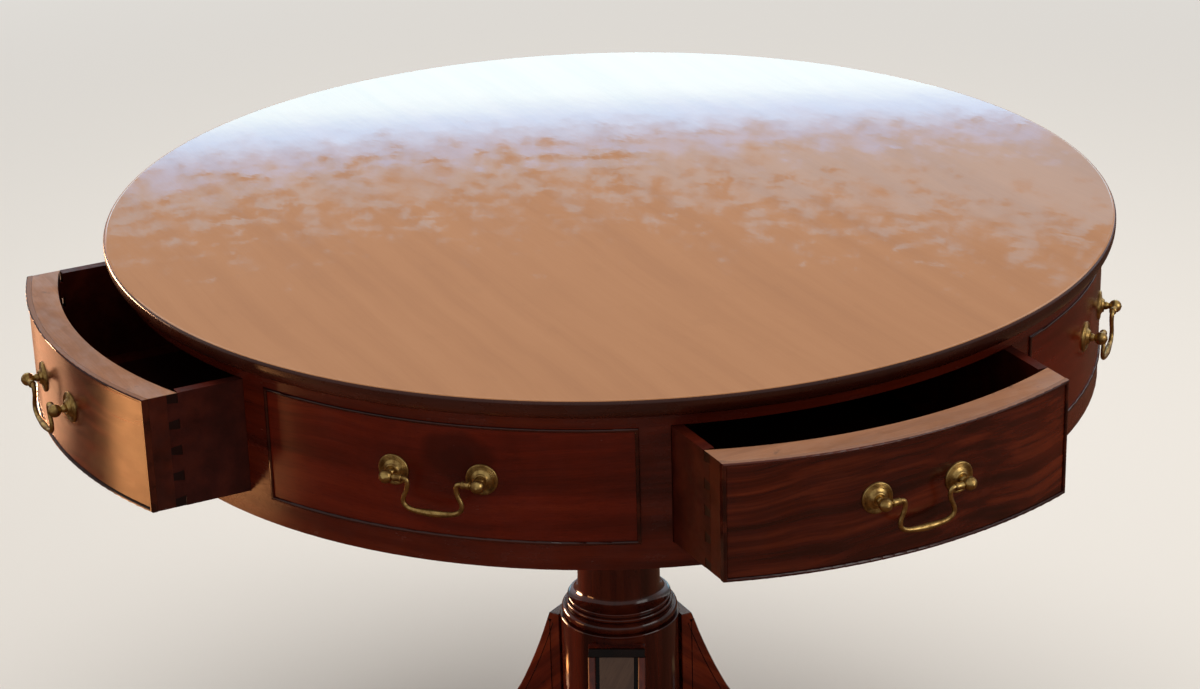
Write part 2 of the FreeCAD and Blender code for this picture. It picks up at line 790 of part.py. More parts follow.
def make_pivot():
    """What the drum turns on: block and bush above, spindle, plate and nut below."""
    bearing_block = turned("bearing_block", [
        ("bush_radius", "bearing_foot"),
        ("bearing_radius", "bearing_foot"),
        ("bearing_radius", "board_under"),
        ("bush_radius", "board_under"),
    ])
    bush = turned("pivot_bush", [
        ("bush_bore", "bearing_foot"),
        ("bush_radius", "bearing_foot"),
        ("bush_radius", "opening_floor"),
        ("bush_radius + bush_flange", "opening_floor"),
        ("bush_radius + bush_flange", "bush_top"),
        ("bush_bore", "bush_top"),
    ])
    spindle = turned("pivot_spindle", [
        ("0", "column_top - spindle_depth"),
        ("spindle_radius", "column_top - spindle_depth"),
        ("spindle_radius", "cap_top"),
        ("spindle_flange_radius", "cap_top"),
        ("spindle_flange_radius", "thrust_top"),
        ("spindle_radius", "thrust_top"),
        ("spindle_radius", "nut_foot"),
        ("thread_radius", "nut_foot"),
        ("thread_radius", "nut_foot + thread_length"),
        ("0", "nut_foot + thread_length"),
    ])
    thrust_plate = turned("thrust_plate", [
        ("spindle_flange_radius + thrust_hole_gap", "cap_top"),
        ("thrust_radius", "cap_top"),
        ("thrust_radius", "thrust_top"),
        ("spindle_flange_radius + thrust_hole_gap", "thrust_top"),
    ])
    return [bearing_block, bush, spindle, thrust_plate, make_spindle_nut()]


def make_spindle_nut():
    """The flanged hexagon nut that keeps the drum on its spindle."""
    body = new_body("spindle_nut")
    washer = outline(sketch_in(body, "XZ_Plane", "nutSection"), [
        ("thread_bore", "nut_foot"),
        ("nut_washer_radius", "nut_foot"),
        ("nut_washer_radius", "nut_foot + nut_washer_height"),
        ("thread_bore", "nut_foot + nut_washer_height"),
    ])
    spin(body, washer, "V_Axis")
    point = f"nut_across / 2 / cos({NUT_HALF})"
    turns = [NUT_TURN * side + NUT_HALF for side in range(NUT_SIDES)]
    corners = [(f"{point} * cos({turn})", f"{point} * sin({turn})") for turn in turns]
    corners = [("0" if abs(measure(across)) < TOUCH else across, along) for across, along in corners]
    plan = outline(sketch_in(body, "XY_Plane", "nutPlan", "nut_foot + nut_washer_height"), corners)
    hole = plan.addGeometry(Part.Circle(Vector(), Vector(0, 0, 1), measure("thread_bore")))
    plan.addConstraint(Sketcher.Constraint("Coincident", hole, 3, -1, 1))
    size = plan.addConstraint(Sketcher.Constraint("Radius", hole, measure("thread_bore")))
    bind(plan, f"Constraints[{size}]", "thread_bore")
    pad(body, plan, "nut_body_height")
    return body


# Base

def make_leg():
    """One sabre leg along +X: its side outline, tapered in width, reeded, with a dovetail tongue."""
    blank = new_body("leg_blank")
    face = [
        ("moulding_radius", "moulding_top", "hip_curve", 1),
        ("knee_radius", "knee_height", "sweep_curve", 1),
        ("instep_radius", "instep_height"),
        ("leg_reach", "toe_height"),
    ]
    side_view = outline(sketch_in(blank, "XZ_Plane", "legSide"), [
        ("leg_root", "shoulder_height"),
        ("leg_root", "block_foot"),
        ("block_radius", "block_foot", "underside_curve", 1),
        ("sole_start", "sole_height"),
        ("leg_reach", "sole_height"),
        ("leg_reach", "toe_height"),
        ("instep_radius", "instep_height", "sweep_curve", -1),
        ("knee_radius", "knee_height", "hip_curve", -1),
        ("moulding_radius", "moulding_top"),
        ("stop_radius", "moulding_top"),
        ("stop_radius", "shoulder_height"),
    ])
    pad(blank, side_view, "leg_width", symmetric=True)
    taper = outline(sketch_in(blank, "XY_Plane", "legTaper"), [
        ("stop_radius", "leg_width / 2"),
        ("leg_reach", "leg_toe_width / 2"),
        ("leg_reach + overrun", "leg_toe_width / 2"),
        ("leg_reach + overrun", "leg_width / 2 + overrun"),
        ("stop_radius", "leg_width / 2 + overrun"),
    ])
    slope = blank.newObject("PartDesign::Pocket", "legTaperCut")
    slope.Profile = taper
    slope.Reversed = True
    bind(slope, "Length", "shoulder_height + overrun")
    mirror = blank.newObject("PartDesign::Mirrored", "legTaperPair")
    mirror.Originals = [slope]
    mirror.MirrorPlane = (next(item for item in blank.Origin.OriginFeatures if item.Role == "XZ_Plane"), [""])
    blank.Tip = mirror
    reeds = [make_reed(f"reed_{'near' if side < 0 else 'far'}", face, side) for side in (1, -1)]
    column_round = cylinder("column_round", "block_radius", "block_foot - overrun",
                            "shoulder_height - block_foot + 2 * overrun")
    shaped = cut("leg_shaped", blank, column_round, *reeds)
    tongue = prism("leg_tongue", [
        ("tongue_back", "-tongue_back_half"),
        ("block_radius + tongue_sink", "-tongue_neck_half"),
        ("block_radius + tongue_sink", "tongue_neck_half"),
        ("tongue_back", "tongue_back_half"),
    ], "block_foot", "shoulder_height - block_foot - tongue_top_gap")
    leg = doc.addObject("Part::Fuse", "leg")
    leg.Base = shaped
    leg.Tool = tongue
    return leg, tongue


def make_reed(name, face, side):
    """A round groove that follows the leg's outer face to one side of its middle."""
    body = new_body(name)
    path = outline(sketch_in(body, "XZ_Plane", name + "Path", f"{side} * reed_offset"), face, closed=False)
    section = sketch_in(body, "XY_Plane", name + "Section", "moulding_top")
    ring = section.addGeometry(Part.Circle(
        Vector(measure("moulding_radius"), -side * measure("reed_offset"), 0), Vector(0, 0, 1),
        measure("reed_radius")))
    size = section.addConstraint(Sketcher.Constraint("Radius", ring, measure("reed_radius")))
    bind(section, f"Constraints[{size}]", "reed_radius")
    tie_point(section, ring, 3, "moulding_radius", f"{-side} * reed_offset")
    pipe = body.newObject("PartDesign::AdditivePipe", name + "Pipe")
    pipe.Profile = section
    pipe.Spine = (path, [f"Edge{number}" for number in range(1, len(face))])
    return body


def make_toe_cap(leg):
    """The brass box that shoes the end of a leg and stands on the floor."""
    body = new_body("toe_cap_blank")
    side_view = outline(sketch_in(body, "XZ_Plane", "toeCapSide"), [
        ("cap_start", "0"),
        ("cap_end", "0"),
        ("cap_end", "toe_height + toe_cap_wall - toe_rise * toe_cap_nose"),
        ("cap_start", "cap_start_height"),
    ])
    block = pad(body, side_view, "leg_toe_width + 2 * toe_cap_side", symmetric=True)
    doc.recompute()
    reach = measure("cap_end")
    tips = [f"Edge{number}" for number, edge in enumerate(block.Shape.Edges, start=1)
            if all(abs(point.X - reach) < TOUCH for point in edge.Vertexes)
            and abs(edge.tangentAt(edge.FirstParameter).z) > UPRIGHT_SHARE]
    rounding = body.newObject("PartDesign::Fillet", "toeCapNose")
    rounding.Base = (block, tips)
    bind(rounding, "Radius", "toe_cap_round")
    return cut("toe_cap", body, leg)


def make_column(tongues):
    """The turned column: plain shaft, cove, collar and torus above the block that takes the legs."""
    shaft = turned("column_turned", [
        ("0", "block_foot"),
        ("block_radius", "block_foot"),
        ("block_radius", "ring_foot"),
        ("ring_fillet_radius", "ring_foot"),
        ("ring_fillet_radius", "torus_foot"),
        ("torus_inner", "torus_foot", f"{ROUND_SHARE} * torus_height", 1),
        ("torus_inner", "collar_foot"),
        ("collar_radius", "collar_foot", f"{ROUND_SHARE} * collar_height", 1),
        ("collar_radius", "groove_foot"),
        ("groove_radius", "groove_foot"),
        ("groove_radius", "cove_foot"),
        ("cove_fillet_radius", "cove_foot"),
        ("cove_fillet_radius", "cove_start", "cove_curve", -1),
        ("column_radius", "cove_top"),
        ("column_top_radius", "column_top"),
        ("spindle_radius + pivot_fit", "column_top"),
        ("spindle_radius + pivot_fit", "column_top - spindle_depth"),
        ("0", "column_top - spindle_depth"),
    ])
    return cut("column", shaft, *tongues)


def make_cap():
    """The turned cap on the column that carries the thrust plate."""
    return turned("column_cap", [
        ("spindle_radius + pivot_fit", "column_top"),
        ("cap_neck_radius", "column_top"),
        ("cap_neck_radius", "column_top + cap_neck", "cap_curve", -1),
        ("cap_radius", "cap_top - cap_slab"),
        ("cap_radius", "cap_top"),
        ("spindle_radius + pivot_fit", "cap_top"),
    ])


def make_leg_plate():
    """The iron plate under the block that keeps the tongues up, and its three screws."""
    blank = turned("leg_plate_blank", [
        ("0", "plate_foot"),
        ("plate_radius", "plate_foot"),
        ("plate_radius", "block_foot"),
        ("0", "block_foot"),
    ])
    screw = new_body("plate_screw")
    section = outline(sketch_in(screw, "XZ_Plane", "screwSection"), [
        ("0", "plate_foot"),
        ("screw_head_radius", "plate_foot"),
        ("screw_radius", "plate_foot + screw_head"),
        ("screw_radius", "plate_foot + screw_length"),
        ("0", "plate_foot + screw_length"),
    ])
    spin(screw, section, "V_Axis")
    screws = []
    for number in range(LEGS):
        arm = group(f"plate_screw_arm_{number + 1}", [screw])
        bind(arm, "Placement.Base.x", "screw_circle")
        screws.append(turned_copy(f"plate_screw_{number + 1}", arm, number * LEG_TURN + LEG_TURN / 2))
    return cut("leg_plate", blank, *screws), group("plate_screws", screws)


def make_base():
    """Column, legs, toe caps and plate."""
    leg, tongue = make_leg()
    toe_cap = make_toe_cap(leg)
    turns = [number * LEG_TURN for number in range(LEGS)]
    legs = [turned_copy(f"leg_{number}", leg, turn) for number, turn in enumerate(turns, start=1)]
    tongues = [turned_copy(f"tongue_{number}", tongue, turn) for number, turn in enumerate(turns, start=1)]
    caps = [turned_copy(f"toe_cap_{number}", toe_cap, turn) for number, turn in enumerate(turns, start=1)]
    plate, screws = make_leg_plate()
    column = make_column(tongues + [screws])
    return [*legs, group("toe_caps", caps), column, make_cap(), plate, screws]


def main():
    """Builds every piece, checks it and writes one STEP file for each."""
    nodes = [make_top(), *make_rails(), make_bottom_board(), *make_carcase(), *make_fronts()]
    nodes += [*make_pivot(), *make_base()]
    doc.recompute()
    failed = [item.Name for item in doc.Objects if {"Invalid", "Error"} & set(item.State)]
    if failed:
        raise RuntimeError(f"these objects failed: {failed}")
    os.makedirs("parts", exist_ok=True)
    for node in nodes:
        if node.Shape.isNull() or not node.Shape.isValid() or not node.Shape.Solids:
            raise RuntimeError(f"{node.Name} has no sound shape")
    for node in nodes:
        node.Label = node.Name
        node.Shape.exportStep(f"parts/{node.Label}.step")
        print(f"{node.Label}: {len(node.Shape.Solids)} solids, {node.Shape.Volume:.0f} mm3")


main()
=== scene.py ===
"""Drum table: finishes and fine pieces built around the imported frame.

The frame gives the construction: drum, drawers, column and legs, in metres, +Z up, standing on
the floor with the column on the Z axis. This script remodels the pieces whose surface shows most
(the top, the drawer fronts, the brass handles, the column and the legs), gives every piece its
finish, and sets up the camera, the floor and the light.
"""
from __future__ import annotations

import logging
import math
from dataclasses import dataclass, field, replace
from enum import Enum
from typing import Any, Iterable, Sequence

import bpy
from mathutils import Matrix, Vector

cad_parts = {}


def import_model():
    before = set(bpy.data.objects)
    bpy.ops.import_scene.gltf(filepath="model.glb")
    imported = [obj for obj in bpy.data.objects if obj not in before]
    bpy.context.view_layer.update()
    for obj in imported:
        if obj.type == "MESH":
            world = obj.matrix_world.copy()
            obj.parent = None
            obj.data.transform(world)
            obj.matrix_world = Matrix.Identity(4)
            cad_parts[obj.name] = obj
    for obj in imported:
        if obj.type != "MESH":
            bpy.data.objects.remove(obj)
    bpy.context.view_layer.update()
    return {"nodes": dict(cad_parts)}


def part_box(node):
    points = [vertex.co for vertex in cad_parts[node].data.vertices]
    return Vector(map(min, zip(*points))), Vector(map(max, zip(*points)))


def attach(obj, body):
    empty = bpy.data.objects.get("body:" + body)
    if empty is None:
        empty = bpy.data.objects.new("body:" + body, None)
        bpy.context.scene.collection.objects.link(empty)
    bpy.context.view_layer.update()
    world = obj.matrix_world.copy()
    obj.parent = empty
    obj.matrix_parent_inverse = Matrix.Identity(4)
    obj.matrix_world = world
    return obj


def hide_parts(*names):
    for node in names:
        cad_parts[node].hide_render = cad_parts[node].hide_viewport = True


log = logging.getLogger("drum_table")

Colour = tuple[float, float, float, float]
Point = tuple[float, float]

TURN = 2 * math.pi
QUARTER = TURN / 4
MM = 0.001
DOUBLES = 0.01 * MM
SMOOTH_ANGLE = 40.0


def colour(code: str) -> Colour:
    """Turns a hex colour as seen on screen into the linear colour that shaders use.

    Args:
        code: Six hex digits, as in a paint chart.

    Returns:
        Linear red, green, blue and an alpha of one.
    """
    channels = []
    for start in (0, 2, 4):
        value = int(code[start:start + 2], 16) / 255
        channels.append(value / 12.92 if value <= 0.04045 else ((value + 0.055) / 1.055) ** 2.4)
    return (channels[0], channels[1], channels[2], 1.0)


class Bench:
    """The modelling moves that every sub-assembly uses."""

    @staticmethod
    def clear() -> None:
        """Leaves edit mode and deselects every object."""
        if bpy.context.object and bpy.context.object.mode != "OBJECT":
            bpy.ops.object.mode_set(mode="OBJECT")
        bpy.ops.object.select_all(action="DESELECT")

    @staticmethod
    def start_point(name: str, place: Vector) -> bpy.types.Object:
        """Adds a small plane and merges it to one vertex, the start of an outline.

        Args:
            name: The piece's name.
            place: Where the vertex goes.

        Returns:
            The new object, in edit mode, with its vertex selected.
        """
        Bench.clear()
        bpy.ops.mesh.primitive_plane_add(size=MM, location=place)
        piece = bpy.context.object
        piece.name = name
        piece.data.name = name
        bpy.ops.object.transform_apply(location=True, rotation=True, scale=True)
        bpy.ops.object.mode_set(mode="EDIT")
        bpy.ops.mesh.select_all(action="SELECT")
        bpy.ops.mesh.merge(type="CENTER")
        return piece

    @staticmethod
    def draw(name: str, points: Sequence[Vector], closed: bool = False) -> bpy.types.Object:
        """Extrudes a vertex from point to point to draw an outline.

        Args:
            name: The piece's name.
            points: The outline's points in order.
            closed: Whether the last point joins the first, with a face between.

        Returns:
            The new object, in edit mode, with its whole outline selected.
        """
        piece = Bench.start_point(name, points[0])
        for here, there in zip(points, points[1:]):
            bpy.ops.mesh.extrude_vertices_move(TRANSFORM_OT_translate={"value": there - here})
        bpy.ops.mesh.select_all(action="SELECT")
        if closed:
            bpy.ops.mesh.edge_face_add()
        return piece

    @staticmethod
    def turn(name: str, outline: Sequence[Point], steps: int) -> bpy.types.Object:
        """Turns an outline about the Z axis, as on a lathe.

        Args:
            name: The piece's name.
            outline: Points of radius and height, from the foot up.
            steps: How many facets go round.

        Returns:
            The turned piece, in object mode.
        """
        piece = Bench.draw(name, [Vector((radius, 0, height)) for radius, height in outline])
        bpy.ops.mesh.spin(steps=steps, angle=TURN, center=(0, 0, 0), axis=(0, 0, 1))
        return Bench.close(piece)

    @staticmethod
    def clean() -> None:
        """Merges the doubles of the piece in edit mode and turns its faces outwards."""
        bpy.ops.mesh.select_all(action="SELECT")
        bpy.ops.mesh.remove_doubles(threshold=DOUBLES)
        bpy.ops.mesh.normals_make_consistent(inside=False)

    @staticmethod
    def close(piece: bpy.types.Object) -> bpy.types.Object:
        """Cleans a piece, leaves edit mode and shades it.

        Args:
            piece: A piece in edit mode.

        Returns:
            The same piece, in object mode.
        """
        Bench.clean()
        bpy.ops.object.mode_set(mode="OBJECT")
        Bench.shade(piece)
        return piece

    @staticmethod
    def shade(piece: bpy.types.Object) -> None:
        """Shades a piece smooth between its sharp edges, and lets its large faces stay flat.

        Args:
            piece: The active piece, in object mode.
        """
        bpy.ops.object.shade_smooth_by_angle(angle=math.radians(SMOOTH_ANGLE))
        bpy.ops.object.modifier_add(type="WEIGHTED_NORMAL")
        weighted = piece.modifiers[-1]
        weighted.weight = 100
        weighted.keep_sharp = True
        bpy.ops.object.modifier_apply(modifier=weighted.name)

    @staticmethod
    def trim(planes: Iterable[tuple[Sequence[float], Sequence[float]]]) -> None:
        """Saws the piece in edit mode along planes and cleans it.

        Args:
            planes: Each plane's point and the direction of its waste side.
        """
        for place, waste in planes:
            bpy.ops.mesh.select_all(action="SELECT")
            bpy.ops.mesh.bisect(plane_co=place, plane_no=waste, use_fill=True, clear_outer=True)
        Bench.clean()

    @staticmethod
    def pick(parts: Sequence[bpy.types.Object]) -> None:
        """Selects some pieces only and makes the first one active.

        Args:
            parts: The pieces.
        """
        Bench.clear()
        for part in parts:
            part.select_set(True)
        bpy.context.view_layer.objects.active = parts[0]

    @staticmethod
    def join(parts: Sequence[bpy.types.Object], name: str) -> bpy.types.Object:
        """Joins pieces into the first one.

        Args:
            parts: The pieces.
            name: The name of the whole.

        Returns:
            The joined piece, in object mode.
        """
        Bench.pick(parts)
        bpy.ops.object.join()
        parts[0].name = name
        parts[0].data.name = name
        return parts[0]

    @staticmethod
    def polyline(name: str, points: Sequence[Point], closed: bool = False) -> bpy.types.Curve:
        """Draws a flat curve of straight runs.

        Args:
            name: The curve's name.
            points: Its points in order.
            closed: Whether the last point joins the first.

        Returns:
            The curve.
        """
        curve = bpy.data.curves.new(name, "CURVE")
        curve.dimensions = "2D"
        spline = curve.splines.new("POLY")
        spline.points.add(len(points) - 1)
        for point, place in zip(spline.points, points):
            point.co = (*place, 0, 1)
        spline.use_cyclic_u = closed
        return curve

    @staticmethod
    def solid(curve: bpy.types.Curve) -> bpy.types.Object:
        """Turns a curve with its thickness into a mesh.

        Args:
            curve: The curve, whose name the piece takes.

        Returns:
            The piece, in object mode.
        """
        holder = bpy.data.objects.new(curve.name, curve)
        bpy.context.scene.collection.objects.link(holder)
        Bench.pick([holder])
        bpy.ops.object.convert(target="MESH")
        return bpy.context.object

    @staticmethod
    def ease(size: float, sharp_angle: float = SMOOTH_ANGLE) -> None:
        """Rounds every sharp edge of the piece in edit mode.

        Args:
            size: How far the round reaches from the edge.
            sharp_angle: Edges sharper than this many degrees are rounded.
        """
        bpy.ops.mesh.select_mode(type="EDGE")
        bpy.ops.mesh.select_all(action="DESELECT")
        bpy.ops.mesh.edges_select_sharp(sharpness=math.radians(sharp_angle))
        bpy.ops.mesh.bevel(offset=size, segments=2, affect="EDGES", clamp_overlap=True)
        bpy.ops.mesh.select_mode(type="VERT")

    @staticmethod
    def copy(piece: bpy.types.Object, name: str, place: Matrix) -> bpy.types.Object:
        """Copies a piece with its own mesh and puts the copy's place in that mesh.

        Args:
            piece: The piece that was modelled once.
            name: The copy's name.
            place: Where the copy goes.

        Returns:
            The copy, whose object sits at the origin.
        """
        twin = piece.copy()
        twin.data = piece.data.copy()
        twin.name = name
        twin.data.name = name
        bpy.context.scene.collection.objects.link(twin)
        twin.data.transform(place)
        return twin

    @staticmethod
    def discard(piece: bpy.types.Object) -> None:
        """Deletes the pattern that copies were made from."""
        bpy.data.objects.remove(piece)


def arc(centre: Point, radius: float, start: float, end: float, count: int) -> list[Point]:
    """Points along an arc of an outline.

    Args:
        centre: The arc's centre as radius and height.
        radius: The arc's own radius.
        start: Where it starts, in degrees from the outward direction.
        end: Where it ends.
        count: How many steps it has.

    Returns:
        The points from start to end, both included.
    """
    points = []
    for step in range(count + 1):
        angle = math.radians(start + (end - start) * step / count)
        points.append((centre[0] + radius * math.cos(angle), centre[1] + radius * math.sin(angle)))
    return points


def bulge(start: Point, end: Point, radius: float, count: int, hollow: bool = False) -> list[Point]:
    """Points along an arc of given radius between two points of an outline that goes upwards.

    Args:
        start: Where the arc starts.
        end: Where it ends.
        radius: The arc's radius.
        count: How many steps it has.
        hollow: Whether it curves inwards instead of outwards.

    Returns:
        The points from start to end, both included.
    """
    first, last = Vector(start), Vector(end)
    chord = last - first
    outward = Vector((chord.y, -chord.x)).normalized()
    side = -1 if hollow else 1
    sink = math.sqrt(max(radius ** 2 - (chord.length / 2) ** 2, 0.0))
    centre = (first + last) / 2 - side * outward * sink
    half = math.asin(min(chord.length / 2 / radius, 1.0))
    along = chord.normalized()
    points = []
    for step in range(count + 1):
        angle = half * (2 * step / count - 1)
        place = centre + side * outward * radius * math.cos(angle) + along * radius * math.sin(angle)
        points.append((place.x, place.y))
    return points


class Tree:
    """A node tree with short ways to add nodes and join them."""

    def __init__(self, tree: bpy.types.NodeTree) -> None:
        """Keeps the tree that nodes are added to."""
        self.tree = tree

    def feed(self, node: bpy.types.Node, inputs: dict[Any, Any]) -> None:
        """Sets a node's inputs, or joins them to other nodes.

        Args:
            node: The node.
            inputs: Values or sockets by input name or number.
        """
        for key, value in inputs.items():
            if isinstance(value, bpy.types.NodeSocket):
                self.tree.links.new(value, node.inputs[key])
            else:
                node.inputs[key].default_value = value

    def add(self, kind: str, inputs: dict[Any, Any] | None = None, **settings: Any) -> bpy.types.Node:
        """Adds a node, sets it and joins its inputs.

        Args:
            kind: Blender's name for the node type, without its ShaderNode prefix.
            inputs: Values or sockets by input name or number.
            settings: The node's own properties.

        Returns:
            The new node.
        """
        node = self.tree.nodes.new(kind if kind.startswith("Node") else "ShaderNode" + kind)
        for name, value in settings.items():
            setattr(node, name, value)
        self.feed(node, inputs or {})
        return node

    def math(self, operation: str, *values: Any, clamp: bool = False) -> bpy.types.NodeSocket:
        """Adds a Math node and returns its result."""
        node = self.add("Math", dict(enumerate(values)), operation=operation, use_clamp=clamp)
        return node.outputs[0]

    def vector(self, operation: str, *values: Any, result: str = "Vector",
               scale: Any = None) -> bpy.types.NodeSocket:
        """Adds a Vector Math node and returns the named result."""
        inputs = dict(enumerate(values)) if scale is None else {0: values[0], "Scale": scale}
        return self.add("VectorMath", inputs, operation=operation).outputs[result]

    def noise(self, vector: Any, stretch: Sequence[float], detail: float = 3,
              roughness: float = 0.5) -> bpy.types.NodeSocket:
        """Adds noise that is stretched along some axes.

        Args:
            vector: The coordinates.
            stretch: Features per metre along each axis.
            detail: How many finer layers it has.
            roughness: How strong the finer layers are.

        Returns:
            The noise, from zero to one.
        """
        scaled = self.vector("MULTIPLY", vector, tuple(stretch))
        node = self.add("TexNoise", {"Vector": scaled, "Scale": 1.0, "Detail": detail,
                                     "Roughness": roughness})
        return node.outputs[0]

    def ramp(self, value: Any, low: float, high: float, to_low: float = 0,
             to_high: float = 1) -> bpy.types.NodeSocket:
        """Maps the range from low to high smoothly onto another."""
        node = self.add("MapRange", {0: value, 1: low, 2: high, 3: to_low, 4: to_high},
                        interpolation_type="SMOOTHSTEP")
        return node.outputs[0]

    def blend(self, factor: Any, first: Any, second: Any) -> bpy.types.NodeSocket:
        """Mixes two colours by the second one's share."""
        return self.add("Mix", {0: factor, 6: first, 7: second}, data_type="RGBA").outputs[2]


def start_material(name: str) -> tuple[bpy.types.Material, Tree, bpy.types.Node]:
    """Starts a node material.

    Args:
        name: The material's name.

    Returns:
        The material, its tree and its Principled shader.
    """
    made = bpy.data.materials.new(name)
    made.use_nodes = True
    return made, Tree(made.node_tree), made.node_tree.nodes["Principled BSDF"]


class Effect:
    """A shader node group that several finishes share."""

    def __init__(self, name: str, outputs: Sequence[str], kind: str = "Float", **numbers: float) -> None:
        """Makes the group's tree and its sockets, the first of which takes coordinates.

        Args:
            name: The group's name.
            outputs: The outputs' names.
            kind: What the outputs carry.
            numbers: Further inputs with their defaults.
        """
        self.group = bpy.data.node_groups.new(name, "ShaderNodeTree")
        sockets = self.group.interface
        sockets.new_socket("Vector", in_out="INPUT", socket_type="NodeSocketVector")
        for label, value in numbers.items():
            sockets.new_socket(label, in_out="INPUT", socket_type="NodeSocketFloat").default_value = value
        for label in outputs:
            sockets.new_socket(label, in_out="OUTPUT", socket_type="NodeSocket" + kind)
        self.nodes = Tree(self.group)
        self.inside = self.nodes.add("NodeGroupInput").outputs

    def give(self, results: dict[str, bpy.types.NodeSocket]) -> Effect:
        """Joins the results to the group's outputs."""
        self.nodes.add("NodeGroupOutput", results)
        return self

    def use(self, tree: Tree, inputs: dict[str, Any]) -> bpy.types.NodeOutputs:
        """Places the group in a material and returns its outputs there."""
        return tree.add("Group", inputs, node_tree=self.group).outputs


# Features per metre of the noises, first along the grain, then across it.
DRIFT = 3.2
RIBBON = (1.5, 48, 48)
CLOUD = (5, 13, 13)
FIBRE = (14, 640, 640)
FLECK = (70, 1900, 1900)
SMEAR = (9, 9, 9)
RUB = (38, 90, 90)
SCRATCH_ACROSS = (1500, 22, 300)
SCRATCH_ALONG = (30, 1300, 300)
WAVE = (9, 15, 15)
SHADE = (4, 4, 4)
BLOT = (26, 26, 26)
WOBBLE = (22, 22, 22)
TARNISH = (110, 110, 110)
SPECK = (900, 900, 900)
PITTING = (420, 420, 420)
FIBRE_RELIEF = 0.05 * MM
PITTING_RELIEF = 0.05 * MM


